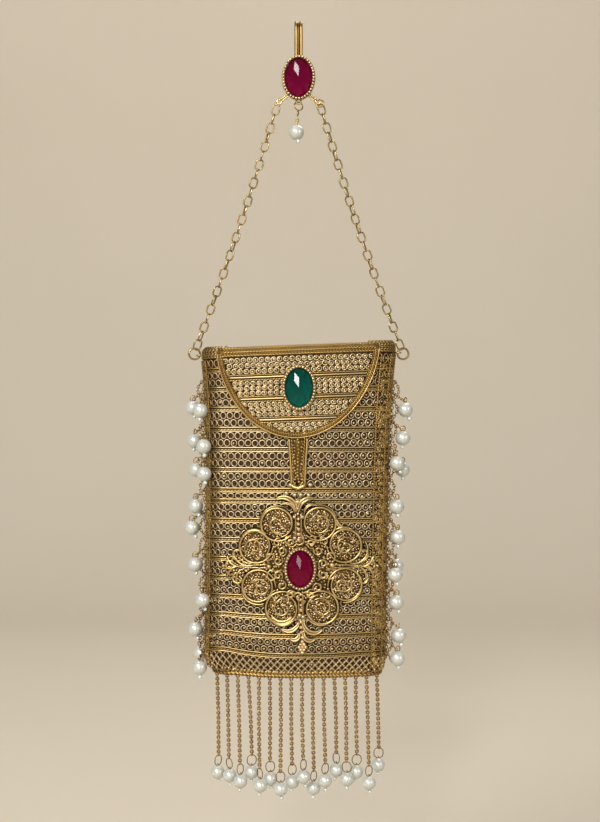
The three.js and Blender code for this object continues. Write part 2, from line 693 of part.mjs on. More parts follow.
const bag = new THREE.Group();
bag.position.z = -MOUTH_BELOW_HOOK;
const emeraldSeat = flapPoint(FLAP_STONE.across, FLAP_STONE.drop, FLAP.sheet + GAP);
const rubySeat = plaquePoint(0, 0, 0.4);
bag.add(
  piece("bag_body", bodyShell(), gold),
  piece("mouth_rim", mouthRim(), gold),
  piece("ring_left", ring(CORNER_RING, "y", cornerRingCentre(-1)), gold),
  piece("ring_right", ring(CORNER_RING, "y", cornerRingCentre(1)), gold),
  piece("flap", flapSheet(), gold),
  piece("flap_rim", flapRim(), gold),
  piece("flap_tongue", flapTongue(), gold),
  piece("flap_bezel", bezel(STONES.flap), gold, emeraldSeat.toArray()),
  piece("flap_emerald", stone(STONES.flap), stoneOf(STONES.flap.color),
    [emeraldSeat.x, emeraldSeat.y + stoneSeat, emeraldSeat.z]),
  piece("medallion", plaque(), gold),
  piece("medallion_ruby", stone(STONES.plaque), stoneOf(STONES.plaque.color),
    [rubySeat.x, rubySeat.y + stoneSeat, rubySeat.z]),
  piece("side_chain_left", sideChain(-1, LEFT_PEARLS), gold),
  piece("side_chain_right", sideChain(1, RIGHT_PEARLS), gold),
  piece("chain_fringe", chainFringe(), gold),
  ...LEFT_PEARLS.map((row, i) => pearl(numbered("pearl_left", i), PEARL.side, sidePearl(-1, row).toArray())),
  ...RIGHT_PEARLS.map((row, i) => pearl(numbered("pearl_right", i), PEARL.side, sidePearl(1, row).toArray())),
  ...STRANDS.map((row, i) => pearl(numbered("pearl_fringe", i), PEARL.fringe, strandPearl(row, i).toArray())),
);

const pouch = new THREE.Group();
pouch.add(hanger, bag);

export default pouch;
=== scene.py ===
import bpy
import numpy as np
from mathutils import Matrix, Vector


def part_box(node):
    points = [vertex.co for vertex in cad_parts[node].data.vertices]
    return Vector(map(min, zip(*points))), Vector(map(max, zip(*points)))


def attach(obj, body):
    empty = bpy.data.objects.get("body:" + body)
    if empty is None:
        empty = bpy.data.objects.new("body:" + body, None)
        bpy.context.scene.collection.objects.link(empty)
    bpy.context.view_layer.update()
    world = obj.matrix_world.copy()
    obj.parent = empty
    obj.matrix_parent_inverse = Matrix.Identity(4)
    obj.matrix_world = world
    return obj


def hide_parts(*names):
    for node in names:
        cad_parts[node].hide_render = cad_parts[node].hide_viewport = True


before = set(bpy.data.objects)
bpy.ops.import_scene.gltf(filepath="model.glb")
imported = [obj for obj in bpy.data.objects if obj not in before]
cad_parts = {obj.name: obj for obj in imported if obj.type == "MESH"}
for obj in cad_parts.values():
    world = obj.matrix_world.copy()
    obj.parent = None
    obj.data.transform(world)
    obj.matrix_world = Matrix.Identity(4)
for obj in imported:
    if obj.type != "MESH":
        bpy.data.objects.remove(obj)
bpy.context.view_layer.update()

# Body wall. The pouch is an upright oblong tube with soft corners, flared at its mouth and drawn in at its
# base. A dark gauze sheet just inside the lace is painted shade: it stands for the shadowed inside of the
# pouch seen through the holes, and the lace lies over it.
# Shapes are worked out in millimetres.
MM = 0.001
body_low, body_high = np.array(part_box("bag_body")) / MM
MOUTH_Z = body_high[2]
BODY_HEIGHT = body_high[2] - body_low[2]
BODY_WIDTH = 107.4
BODY_DEPTH = 36.0
BODY_CORNER = 13.0
FRONT_BULGE = 3.0
FLARE_WIDTH = 8.6
FLARE_LENGTH = 35.0
BASE_INSETS = (4.4, 3.0)
BASE_ROUND = 9.0
BASE_SKEW = 1.3
FOOT_LIFTS = (3.8, 1.4)
LIFT_BY_DROP = ((0.6, 0.75, 0.88, 0.94, 1.0), (0.0, 0.2, 0.62, 1.0, 0.35))
LIFT_POWER = 2.3
BODY_LEAN = 2.2
MOUTH_TILT = np.tan(np.radians(2.2))
TILT_LENGTH = 14.0
RUN_TURNS = np.radians([90, 90, 180, 180, 270, 270, 360, 360, 450, 450])
RUN_X = np.array([0, -1, -1, -1, -1, 1, 1, 1, 1, 0])
RUN_Y = np.array([1, 1, 1, -1, -1, -1, -1, 1, 1, 1])
RUN_ENDS = np.cumsum([0, 40.7, 20.4, 10, 20.4, 81.4, 20.4, 10, 20.4, 40.7])
GIRTH = RUN_ENDS[-1]
SHADE_GAUZE_IN = 1.25
SHADE_GAUZE_THICK = 0.3
FULL_TURN = 2 * np.pi


def join(*columns):
    """Points from coordinates that are given one by one."""
    return np.stack(np.broadcast_arrays(*columns), axis=-1)


def ramp(value, ends):
    """The share of the way that a value has gone from one end to the other, held from 0 to 1."""
    return np.clip((value - ends[0]) / (ends[1] - ends[0]), 0, 1)


def drawn_in(drop):
    """The share by which the wall is drawn in at a drop: a quarter circle over the round of the base."""
    into = ramp(drop, (BODY_HEIGHT - BASE_ROUND, BODY_HEIGHT))
    return 1 - np.sqrt(1 - into**2)


def half_sizes(drop):
    """Half the width and depth at a drop: wider by the flare above, less by the round below."""
    wide = (BODY_WIDTH + FLARE_WIDTH * np.exp(-drop / FLARE_LENGTH)) / 2 - BASE_INSETS[0] * drawn_in(drop)
    return wide, BODY_DEPTH / 2 - BASE_INSETS[1] * drawn_in(drop)


def lean(drop):
    """How far the wall stands aside at a drop: evenly more to the left, and back a little at the base."""
    return BASE_SKEW * drawn_in(drop) - BODY_LEAN * np.clip(drop, 0, None) / BODY_HEIGHT


def lift(share, drop):
    """How far the lowest rows rise to the sides, by a power of the share across: most at the last band."""
    most = np.where(share < 0, *FOOT_LIFTS)
    return most * np.abs(share) ** LIFT_POWER * np.interp(drop / BODY_HEIGHT, *LIFT_BY_DROP)


def wall(along, drop, out):
    """The wall at millimetres along its girth from the middle of the back, down from the mouth, and out.

    A point goes round the four corner centres in straight runs, and the wall stands off it by the corner's
    radius, in a direction that turns a quarter at each corner. The front swells by a parabola, and the base
    rises toward the sides. The mouth is tilted, up to the right, less and less below.
    """
    along = np.mod(along, GIRTH)
    wide, deep = half_sizes(drop)
    turn = np.interp(along, RUN_ENDS, RUN_TURNS)
    share_x = np.interp(along, RUN_ENDS, RUN_X)
    share_y = np.interp(along, RUN_ENDS, RUN_Y)
    bow = np.clip(-share_y, 0, 1) * (1 - share_x**2)
    x = share_x * (wide - BODY_CORNER) + (BODY_CORNER + out) * np.cos(turn) + lean(drop)
    y = share_y * (deep - BODY_CORNER) + (BODY_CORNER + out) * np.sin(turn) - FRONT_BULGE * bow
    tilt = x * MOUTH_TILT * np.exp(-np.clip(drop, 0, None) / TILT_LENGTH)
    return join(x, y, MOUTH_Z - drop + lift(share_x, drop) + tilt)


def tubes(rings, closed, wear_and_shade):
    """Tubes of quads through rings, shape (tubes, rings, points, 3), with flat ends unless closed."""
    count, steps, sides = rings.shape[:3]
    index = np.arange(count * steps * sides).reshape(count, steps, sides)
    ahead = np.roll(index, -1, 1) if closed else index[:, 1:]
    here = index if closed else index[:, :-1]
    faces = join(here, ahead, np.roll(ahead, -1, 2), np.roll(here, -1, 2)).reshape(-1, 4)
    if not closed:
        half = np.arange(sides // 2 - 1)
        ends = join(half, half + 1, sides - 2 - half, sides - 1 - half)
        lids = [index[:, 0][:, ends], index[:, -1][:, ends[:, ::-1]]]
        faces = np.concatenate([faces] + [lid.reshape(-1, 4) for lid in lids])
    verts = rings.reshape(-1, 3)
    a, b, c, d = (verts[faces[:, k]] - verts[0] for k in range(4))
    volume = np.sum(np.cross(b, c) * a) + np.sum(np.cross(c, d) * a)
    wear_and_shade = np.broadcast_to(wear_and_shade, rings.shape[:3]).ravel()
    return verts, faces if volume > 0 else faces[:, ::-1], wear_and_shade


def placed(name, data):
    """A new object in the scene."""
    made = bpy.data.objects.new(name, data)
    bpy.context.scene.collection.objects.link(made)
    return made


def shown(name, mesh, material, replaced):
    """The mesh as an object that rides the root, in place of the nodes that it replaces."""
    mesh.materials.append(material)
    made = placed(name, mesh)
    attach(made, "root")
    if replaced:
        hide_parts(*replaced)


def piece(name, parts, material, replaced=()):
    """One object of the joined parts, each of them vertices in millimetres, quads, and wear and painted
    shade from 0 to 1.
    """
    starts = np.cumsum([0] + [len(part[0]) for part in parts])
    verts = np.concatenate([part[0] for part in parts]) * MM
    faces = np.concatenate([part[1] + start for part, start in zip(parts, starts)])
    mesh = bpy.data.meshes.new(name)
    mesh.vertices.add(len(verts))
    mesh.vertices.foreach_set("co", verts.ravel())
    mesh.loops.add(faces.size)
    mesh.loops.foreach_set("vertex_index", faces.ravel().astype(np.int32))
    mesh.polygons.add(len(faces))
    mesh.polygons.foreach_set("loop_start", np.arange(0, faces.size, 4, dtype=np.int32))
    mesh.polygons.foreach_set("use_smooth", np.ones(len(faces), dtype=bool))
    wear_and_shade = mesh.attributes.new("wear_and_shade", "FLOAT", "POINT")
    wear_and_shade.data.foreach_set("value", np.concatenate([part[2] for part in parts]).astype(np.float32))
    mesh.update(calc_edges=True)
    shown(name, mesh, material, replaced)


class Flow:
    """A shader socket in a sum: arithmetic on it adds Math nodes, and node() adds any other node."""

    def __init__(self, tree, socket=None):
        self.tree = tree
        self.socket = socket

    def node(self, kind, settings, inputs, output=0):
        made = self.tree.nodes.new(kind)
        for key, value in settings.items():
            setattr(made, key, value)
        for key, value in inputs.items():
            if isinstance(value, Flow):
                self.tree.links.new(value.socket, made.inputs[key])
            else:
                made.inputs[key].default_value = value
        return Flow(self.tree, made.outputs[output])

    def math(self, operation, first, second):
        return self.node("ShaderNodeMath", {"operation": operation}, {0: first, 1: second})

    def __add__(self, other):
        return self.math("ADD", self, other)

    def __radd__(self, other):
        return self.math("ADD", other, self)

    def __sub__(self, other):
        return self.math("SUBTRACT", self, other)

    def __rsub__(self, other):
        return self.math("SUBTRACT", other, self)

    def __mul__(self, other):
        return self.math("MULTIPLY", self, other)

    def __rmul__(self, other):
        return self.math("MULTIPLY", other, self)

    def range(self, low, high):
        """The value stretched from low..high to 0..1 and held there."""
        inputs = {"Value": self, "From Min": low, "From Max": high}
        return self.node("ShaderNodeMapRange", {"clamp": True}, inputs)

    def blend(self, first, second):
        """A colour between two, by this value."""
        return self.node("ShaderNodeMix", {"data_type": "RGBA"}, {0: self, 6: first, 7: second}, 2)

    def to(self, shader, name):
        self.tree.links.new(self.socket, shader.inputs[name])


def finish(name, fixed):
    """A new material, its shader with the fixed inputs set, and its Object coordinates as a Flow."""
    material = bpy.data.materials.new(name)
    material.use_nodes = True
    tree = material.node_tree
    shader = tree.nodes["Principled BSDF"]
    for key, value in fixed.items():
        shader.inputs[key].default_value = value
    return material, shader, Flow(tree).node("ShaderNodeTexCoord", {}, {}, "Object")


def noise(spot, scale, detail=3.0):
    """Soft random clouds, of a scale in turns to the metre."""
    return spot.node("ShaderNodeTexNoise", {}, {"Vector": spot, "Scale": scale, "Detail": detail})


# A dark gauze sheet with fine cells: painted shade, standing for the shadowed inside seen through the lace.
shade_gauze_finish, shade_gauze_shader, shade_gauze_spot = finish("painted_shade_gauze", {"Specular IOR Level": 0.1})
shade_gauze_cells = {"Vector": shade_gauze_spot, "Scale": 900.0, "Randomness": 0.35}
shade_gauze_holes = shade_gauze_spot.node("ShaderNodeTexVoronoi", {"feature": "DISTANCE_TO_EDGE"}, shade_gauze_cells)
shade_gauze_tone = shade_gauze_holes.range(0.02, 0.3) + (noise(shade_gauze_spot, 60.0) - 0.5) * 0.6
shade_gauze_colour = shade_gauze_tone.range(0, 1).blend((0.085, 0.047, 0.019, 1), (0.04, 0.021, 0.008, 1))
shade_gauze_colour.to(shade_gauze_shader, "Base Color")
(0.5 + 0.3 * shade_gauze_holes).to(shade_gauze_shader, "Roughness")
shade_gauze_relief = {"Height": shade_gauze_holes, "Strength": 0.4, "Distance": 0.0002}
shade_gauze_spot.node("ShaderNodeBump", {"invert": True}, shade_gauze_relief).to(shade_gauze_shader, "Normal")

shade_gauze_along = np.arange(150) * GIRTH / 150
shade_gauze_upper = np.linspace(0, BODY_HEIGHT - BASE_ROUND, 24)
shade_gauze_drops = np.append(shade_gauze_upper, BODY_HEIGHT - BASE_ROUND * 0.5 ** np.arange(1, 6))
shade_gauze_outer = wall(shade_gauze_along[None], shade_gauze_drops[:, None], -SHADE_GAUZE_IN)
shade_gauze_inner = wall(shade_gauze_along[None], shade_gauze_drops[::-1, None], -SHADE_GAUZE_IN - SHADE_GAUZE_THICK)
shade_gauze_wall = tubes(np.concatenate([shade_gauze_outer, shade_gauze_inner])[None], True, 0.5)
floor_front = wall(np.linspace(RUN_ENDS[3], RUN_ENDS[6], 60), shade_gauze_drops[-1], -SHADE_GAUZE_IN)
floor_back = floor_front * [1, -1, 1]
floor_up = np.array([0, 0, SHADE_GAUZE_THICK])
floor_rings = np.stack([floor_front, floor_back, floor_back + floor_up, floor_front + floor_up], axis=1)
shade_gauze_floor = tubes(floor_rings[None], False, 0.5)
piece("body_shade_gauze", [shade_gauze_wall, shade_gauze_floor], shade_gauze_finish, ["bag_body"])

# Body lace. Rows of touching wire rings fill the wall between bands, with grains soldered into some rings.
# A band is a rope between two thin wires over a dark strip, which is a painted shadow line. Ropes and small
# curls cover both front corners.
# All of it is gilt brass wire, soldered where it touches, worn bright and given a painted highlight where
# it stands out, with painted shade on its flanks.
BAND_DROPS = 0.9 + 1.004 * np.concatenate([6.9 + 12 * np.arange(7), 85.4 + 11.4 * np.arange(9)])
BAND_HALF = 1.55
RING_COUNT = 65
RING_PITCH = GIRTH / RING_COUNT
RING_WIRE = 0.38
RING_OUT = -0.35
RING_UNEVEN = 0.16
ONE_ROW_GAP = 4.0
LACE_EDGE = 0.6
GRAIN_RIGHT = (137, 167)
GRAIN_RIGHT_END = 200
GRAIN_LOW = (125, 165)
GRAIN_SHARES = (0.06, 0.8)
GRAIN_RADII = (0.62, 0.98)
FOOT_GRAIN = 0.75
BAND_WIRE = 0.42
BAND_WIRE_DROPS = (-1.15, 1.2)
BAND_ROPE = 0.48
BAND_ROPE_DROP = 0.25
BAND_LAY = GIRTH / round(GIRTH / 1.9)
BAND_SHADOW_STRIP = 1.1
SIDE_SHADE_RIGHT = (43, 47)
SIDE_SHADE_LEFT = (47, 52)
DARKER_LOW = (158, 180)
DARKEN_SHARES = (0.3, 0.22)
CORNER_ROPES = np.array([72.5, 79.3, 177.6, 185.0, 191.8])
CORNER_CURLS = 420
LEFT_CURLS = (74, 79)
RIGHT_CURLS = (178, 191)
LEFT_CURLS_SHARE = 0.3
rng = np.random.default_rng(7)


def gold(name, bright, middle, dark_and_shaded, polish):
    """Gilt brass: bright on crests, wear and painted highlight; ochre flanks; brown tarnish and painted
    shade.
    """
    material, shader, spot = finish(name, {"Metallic": 1.0})
    wear_and_shade = spot.node("ShaderNodeAttribute", {"attribute_name": "wear_and_shade"}, {}, "Fac")
    cloud = noise(spot, 45.0)
    grain = noise(spot, 1400.0, 2.0)
    shine = wear_and_shade + (cloud - 0.5) * 0.35 + (grain - 0.5) * 0.25
    colour = shine.range(0.5, 0.95).blend((*middle, 1), (*bright, 1))
    shine.range(0.02, 0.5).blend((*dark_and_shaded, 1), colour).to(shader, "Base Color")
    (polish + 0.26 * (1 - shine.range(0.1, 0.9)) + 0.14 * grain).to(shader, "Roughness")
    relief = {"Height": grain, "Strength": 0.15, "Distance": 0.0001}
    spot.node("ShaderNodeBump", {}, relief).to(shader, "Normal")
    return material


def unit(vectors):
    """The vectors, brought to length 1."""
    return vectors / np.linalg.norm(vectors, axis=-1, keepdims=True)


def wires(place, path, radius, rise, sides=6, closed=False, flat=1.0, lay=0.0, depth=0.3):
    """Wires laid along paths on a surface: a ring of points at each step, square to the path.

    place puts millimetres across, along and off the surface in space, and path has shape (wires, steps, 2).
    flat squeezes the ring to the surface. A rope's ring has two lobes, which turn once in twice the lay.
    """
    path = np.asarray(path, dtype=float)
    ahead = unit(np.roll(path, -1, 1) - np.roll(path, 1, 1) if closed else np.gradient(path, axis=1))
    across = join(-ahead[..., 1], ahead[..., 0])[:, :, None]
    steps = np.linalg.norm(np.diff(path, axis=1), axis=2)
    run = np.concatenate([np.zeros((len(path), 1)), np.cumsum(steps, axis=1)], axis=1)[..., None]
    angle = np.arange(sides) * FULL_TURN / sides
    ring = np.broadcast_to(np.asarray(radius, dtype=float), path.shape[:2])[..., None] * np.ones(sides)
    # Wear and painted light: the side off the surface is bright, a painted highlight, the side toward it
    # dark, painted shade.
    shine = 0.5 + 0.5 * np.sin(angle)
    if lay:
        lobes = np.cos(2 * angle - FULL_TURN / lay * run)
        ring = ring * (1 + depth * lobes)
        shine = shine * (0.55 + 0.45 * lobes)
    spot = path[:, :, None] + across * (ring * np.cos(angle))[..., None]
    rings = place(spot[..., 0], spot[..., 1], rise + flat * ring * np.sin(angle))
    return tubes(rings, closed, shine)


def ball_shape(cuts):
    """A unit ball of quads: a cube's faces, cut evenly by angle, welded and pushed out to the sphere."""
    steps = np.tan(np.linspace(-np.pi / 4, np.pi / 4, cuts + 1))
    a, b = (side.ravel() for side in np.meshgrid(steps, steps, indexing="ij"))
    sides = [(1, a, b), (-1, b, a), (b, 1, a), (a, -1, b), (a, b, 1), (b, a, -1)]
    loose = unit(np.concatenate([join(*side) for side in sides]))
    verts, index = np.unique(loose.round(6), axis=0, return_inverse=True)
    index = index.reshape(6, cuts + 1, cuts + 1)
    quads = [index[:, :-1, :-1], index[:, 1:, :-1], index[:, 1:, 1:], index[:, :-1, 1:]]
    return verts, join(*quads).reshape(-1, 4)


def balls(centres, radii, cuts=2):
    """Balls of the given radii, with wear and painted highlight highest on the front, painted shade on the
    back.
    """
    verts, faces = ball_shape(cuts)
    centres = np.asarray(centres, dtype=float).reshape(-1, 3)
    radii = np.broadcast_to(np.asarray(radii, dtype=float), len(centres))
    spread = centres[:, None] + radii[:, None, None] * verts
    shift = np.arange(len(centres))[:, None, None] * len(verts)
    shine = np.tile(0.55 - 0.45 * verts[:, 1], len(centres))
    return spread.reshape(-1, 3), (faces + shift).reshape(-1, 4), shine


def net(place, rows, starts, ends, pitch, wire, rise, uneven=0.1, wrap=False):
    """Rows of touching rings between ends on a surface, each row half a ring on from the last.

    rows holds the upper and lower edge of each row. Returns the wires, and the middles of the rings.
    """
    angle = np.arange(9) * FULL_TURN / 9
    paths = []
    middles = []
    for row, ((upper, lower), start, end) in enumerate(zip(rows, starts, ends)):
        count = max(2, int(round((end - start) / pitch)))
        step = (end - start) / count
        start = start + row % 2 * step / 2
        count = count - row % 2 * (not wrap)
        middle = join(start + step * (np.arange(count) + 0.5), (upper + lower) / 2)
        middle = middle + rng.uniform(-uneven, uneven, middle.shape)
        half = np.array([step / 2 - wire * 0.85, abs(lower - upper) / 2 - wire * 0.6])
        half = half * rng.uniform(0.95, 1.05, (count, 1, 2))
        paths.append(middle[:, None] + half * join(np.cos(angle), np.sin(angle)))
        middles.append(middle)
    return wires(place, np.concatenate(paths), wire, rise, sides=4, closed=True), np.concatenate(middles)


def dulled(part, share):
    """The part with only a share of its wear and painted shade: darker, for tarnish and for painted shadow
    strips.
    """
    return part[0], part[1], part[2] * share


def darkened_sides_and_base(part):
    """The part darker at the pouch's sides, painted shade where the wall turns away, and darker toward its
    base.
    """
    x, z = part[0][:, 0], part[0][:, 2]
    side = np.maximum(ramp(x, SIDE_SHADE_RIGHT), ramp(-x, SIDE_SHADE_LEFT))
    low = ramp(MOUTH_Z - z, DARKER_LOW)
    return part[0], part[1], part[2] * (1 - np.maximum(DARKEN_SHARES[0] * side, DARKEN_SHARES[1] * low))


lace_gold = gold("lace_gold", (0.77, 0.63, 0.41), (0.43, 0.29, 0.125), (0.038, 0.017, 0.005), 0.26)
rope_gold = gold("rope_gold", (0.68, 0.475, 0.18), (0.34, 0.205, 0.057), (0.024, 0.011, 0.004), 0.22)

row_edges = [(LACE_EDGE, BAND_DROPS[0] - BAND_HALF)]
for above, below in zip(BAND_DROPS[:-1], BAND_DROPS[1:]):
    top, bottom = above + BAND_HALF, below - BAND_HALF
    cut = [top, bottom] if bottom - top < ONE_ROW_GAP else [top, (top + bottom) / 2, bottom]
    row_edges += list(zip(cut[:-1], cut[1:]))
foot = np.linspace(BAND_DROPS[-1] + BAND_HALF, BODY_HEIGHT - LACE_EDGE, 6)
row_edges += list(zip(foot[:-2], foot[2:]))
row_starts = np.zeros(len(row_edges))
row_sizes = (RING_PITCH, RING_WIRE, RING_OUT, RING_UNEVEN)
lace, lace_middles = net(wall, row_edges, row_starts, row_starts + GIRTH, *row_sizes, wrap=True)
piece("body_lace", [darkened_sides_and_base(lace)], lace_gold)
lace_along, lace_drops = lace_middles.T
in_foot = lace_drops > BAND_DROPS[-1]
full_right = ramp(lace_along, GRAIN_RIGHT) * (lace_along < GRAIN_RIGHT_END)
full = GRAIN_SHARES[0] + GRAIN_SHARES[1] * np.maximum(full_right, ramp(lace_drops, GRAIN_LOW)) * ~in_foot
filled = rng.uniform(0, 1, len(lace_middles)) < full
grain_spots = lace_middles[filled] + rng.uniform(-0.4, 0.4, (filled.sum(), 2))
grains = balls(wall(*grain_spots.T, RING_OUT), rng.uniform(*GRAIN_RADII, filled.sum()))
foot_joints = lace_middles[in_foot] + [RING_PITCH / 2, 0]
foot_grains = balls(wall(*foot_joints.T, 0.15), FOOT_GRAIN)
piece("lace_grains", [darkened_sides_and_base(grains), foot_grains], lace_gold)

wire_along = np.arange(120) * GIRTH / 120
rope_along = np.arange(480) * GIRTH / 480
wire_paths = join(wire_along, np.concatenate([BAND_DROPS + drop for drop in BAND_WIRE_DROPS])[:, None])
rope_paths = join(rope_along, BAND_DROPS[:, None] + BAND_ROPE_DROP)
shadow_strip_paths = join(wire_along, BAND_DROPS[:, None])
band_wires = wires(wall, wire_paths, BAND_WIRE, rise=0.1, closed=True, flat=0.85)
band_ropes = wires(wall, rope_paths, BAND_ROPE, rise=-0.05, sides=8, closed=True, lay=BAND_LAY)
# A dark flat strip under each band: a painted shadow line.
band_shadow_strips = wires(wall, shadow_strip_paths, BAND_SHADOW_STRIP, rise=-0.6, sides=4, closed=True, flat=0.2)
band_gold = gold("band_gold", (0.71, 0.53, 0.255), (0.37, 0.24, 0.08), (0.026, 0.011, 0.004), 0.24)
piece("body_bands", [darkened_sides_and_base(band_wires), darkened_sides_and_base(band_ropes), dulled(band_shadow_strips, 0.16)], band_gold)

corner_paths = join(CORNER_ROPES[:, None], np.arange(1.0, BODY_HEIGHT - 1.0, 0.55))
corner_ropes = wires(wall, corner_paths, radius=0.62, rise=0.25, lay=1.5)
curl_share = rng.uniform(0, 1, CORNER_CURLS)
curl_left = rng.uniform(0, 1, CORNER_CURLS) < LEFT_CURLS_SHARE
curl_along = [np.interp(curl_share, (0, 1), ends) for ends in (LEFT_CURLS, RIGHT_CURLS)]
curl_along = np.where(curl_left, *curl_along)
curl_turn = np.arange(8) * FULL_TURN / 8 + rng.uniform(0, 3, (CORNER_CURLS, 1))
curl_path = join(curl_along, rng.uniform(6, BODY_HEIGHT - 4, CORNER_CURLS))[:, None]
curl_size = rng.uniform(0.8, 1.5, (CORNER_CURLS, 1, 2))
curl_path = curl_path + curl_size * join(np.cos(curl_turn), np.sin(curl_turn))
corner_curls = wires(wall, curl_path, radius=0.34, rise=0.25, sides=4, closed=True)
piece("corner_curls", [corner_ropes, corner_curls], rope_gold)

# Base lace. Under the pouch the same gilt rings close the floor, row beside row from end to end.
# They are soldered to the last ring of the wall and lie flat under the gauze.
BASE_HALF = half_sizes(BODY_HEIGHT)


def base(x, y, out):
    """The floor of the pouch at millimetres across and back, and outward, which is down."""
    rise = lift(np.clip(x / (BASE_HALF[0] - BODY_CORNER), -1, 1), BODY_HEIGHT)
    return join(x + lean(BODY_HEIGHT), y, MOUTH_Z - BODY_HEIGHT - out + rise)


base_rows = np.linspace(-1, 1, 7) * (BASE_HALF[1] - LACE_EDGE)
base_edges = list(zip(base_rows[:-1], base_rows[1:]))
base_past = np.maximum(np.abs(base_edges).max(axis=1) - BASE_HALF[1] + BODY_CORNER, 0)
base_ends = BASE_HALF[0] - BODY_CORNER - 1 + np.sqrt(BODY_CORNER**2 - base_past**2)
base_rings, _ = net(base, base_edges, -base_ends, base_ends, RING_PITCH, RING_WIRE, -0.3)
piece("base_lace", [base_rings], lace_gold)

# Mouth rim. Two gilt ropes of opposite lay, side by side like a plait, bind the top edge of the lace all
# round. Four more are soldered over them at each end and make an ear. A lug there holds the corner ring.
MOUTH_ROPE = 0.72
MOUTH_LAY = 2.2
MOUTH_OUT = -0.35
MOUTH_ROPES = ((0.65, 1), (1.95, -1))
EAR_ROPES = ((3.2, 1, -0.35), (4.4, -1, -0.5), (5.5, 1, -1.1), (6.4, -1, -2.1))
EAR_RUNS = ((RUN_ENDS[1] + 6, RUN_ENDS[4] + 3), (RUN_ENDS[5] - 3, RUN_ENDS[8] - 6))
LUG_MIDDLES = np.array([[-59.7, 0, MOUTH_Z + 0.4], [59.7, 0, MOUTH_Z + 2.0]])
LUG = (5.0, 5.0, 0.6)


def mouth(along, up, out):
    """The top edge of the wall, at millimetres above the mouth."""
    return wall(along, 0.0, out) + join(0, 0, up)


def loop_rope(place, level, radius, lay, out, steps=440):
    """A rope all the way round the wall at one level, its lay fitted to the girth."""
    lay = GIRTH / round(GIRTH / lay)
    path = join(np.arange(steps) * GIRTH / steps, level)
    return wires(place, path[None], radius, out, sides=8, closed=True, lay=lay)


def links(centres, axes, widths, length, width, wire, steps=12, sides=6):
    """Chain links: round ends joined by straight sides, each in the plane of its axis and its width."""
    angle = (np.arange(steps) + 0.5)[:, None] * FULL_TURN / steps
    turn = np.arange(sides) * FULL_TURN / sides
    centres = np.asarray(centres, dtype=float).reshape(-1, 1, 1, 3)
    axes = unit(np.asarray(axes, dtype=float).reshape(-1, 1, 1, 3))
    widths = np.asarray(widths, dtype=float).reshape(-1, 1, 1, 3)
    widths = unit(widths - axes * np.sum(widths * axes, axis=-1, keepdims=True))
    reach = width / 2 - wire + wire * np.cos(turn)
    along = max(length - width, 0) / 2 * np.sign(np.cos(angle)) + reach * np.cos(angle)
    across = reach * np.sin(angle)
    off = (wire * np.sin(turn))[:, None] * np.cross(axes, widths)
    rings = centres + axes * along[..., None] + widths * across[..., None] + off
    # Wear and painted light: the outside of each link's wire is brighter, the inside darker in painted
    # shade.
    return tubes(rings, True, 0.68 + 0.32 * np.cos(turn))


mouth_parts = []
for level, hand in MOUTH_ROPES:
    mouth_parts.append(loop_rope(mouth, level, MOUTH_ROPE, hand * MOUTH_LAY, MOUTH_OUT))
for level, hand, out in EAR_ROPES:
    for start, end in EAR_RUNS:
        ear = join(np.arange(start, end, 0.55), level)
        mouth_parts.append(wires(mouth, ear[None], MOUTH_ROPE, out, sides=8, lay=hand * MOUTH_LAY))
mouth_parts.append(links(LUG_MIDDLES, [[1, 0, 0]] * 2, [0, 1, 0], *LUG))
piece("mouth_plait", mouth_parts, band_gold, ["mouth_rim"])

# Flap. A half oval of finer gilt lace over a dark gauze sheet of painted shade folds over the mouth and
# hangs down the front, with a short skirt at the back. Close ropes stiffen its fold, and three bands of a
# wire between two ropes are soldered across its face. It sits a little askew, up to the right.
FLAP_HALF = 47.5
FLAP_OVAL = 53.2
FLAP_OVAL_TOP = 5.0
FLAP_POWER = 1.75
FLAP_FRONT = 19.9
FLAP_FOLD = 6.0
FLAP_TOP_RUN = 27.8
FLAP_FOLD_RUN = FLAP_FOLD * np.pi / 2
FLAP_SKIRT = 7.0
FLAP_BACK_END = -(2 * FLAP_FOLD_RUN + FLAP_TOP_RUN + FLAP_SKIRT)
FLAP_BANDS = np.array([12.3, 25.2, 37.8])
FLAP_BAND_HALF = 2.0
FLAP_LACE_END = 49.6
FLAP_RINGS = 3.6
FLAP_WIRE = 0.4
FLAP_RIM = 2.6
FOLD_INSET = 1.5
FOLD_DULL_ROPES = ((-9.0, 1.7), (-7.8, -1.7), (-5.4, 1.7), (-4.4, -1.7), (-2.0, 1.7))
FOLD_BRIGHT_ROPES = ((-6.6, -1.9), (-3.2, 1.9), (-0.9, -1.9))


def flap(x, along, out):
    """The flap at millimetres across, down the front from its fold, less than 0 over the top, and outward.

    It goes up the front, over a quarter turn, level across the top, over a quarter turn and down the back.
    """
    front_turn = np.clip(-along / FLAP_FOLD, 0, np.pi / 2)
    level = np.clip(-along - FLAP_FOLD_RUN, 0, FLAP_TOP_RUN)
    back_turn = np.clip((-along - FLAP_FOLD_RUN - FLAP_TOP_RUN) / FLAP_FOLD, 0, np.pi / 2)
    skirt = np.maximum(-along - 2 * FLAP_FOLD_RUN - FLAP_TOP_RUN, 0)
    reach = FLAP_FOLD + out
    swell = FRONT_BULGE * (1 - level / FLAP_TOP_RUN) * np.clip(1 - (x / FLAP_HALF) ** 2, 0, 1)
    y = FLAP_FOLD - FLAP_FRONT + level - reach * np.cos(front_turn) + reach * np.sin(back_turn) - swell
    z = (reach - 0.9) * np.sin(front_turn) * np.cos(back_turn) - np.maximum(along, 0) - skirt
    return join(x, y, MOUTH_Z + z + x * MOUTH_TILT)


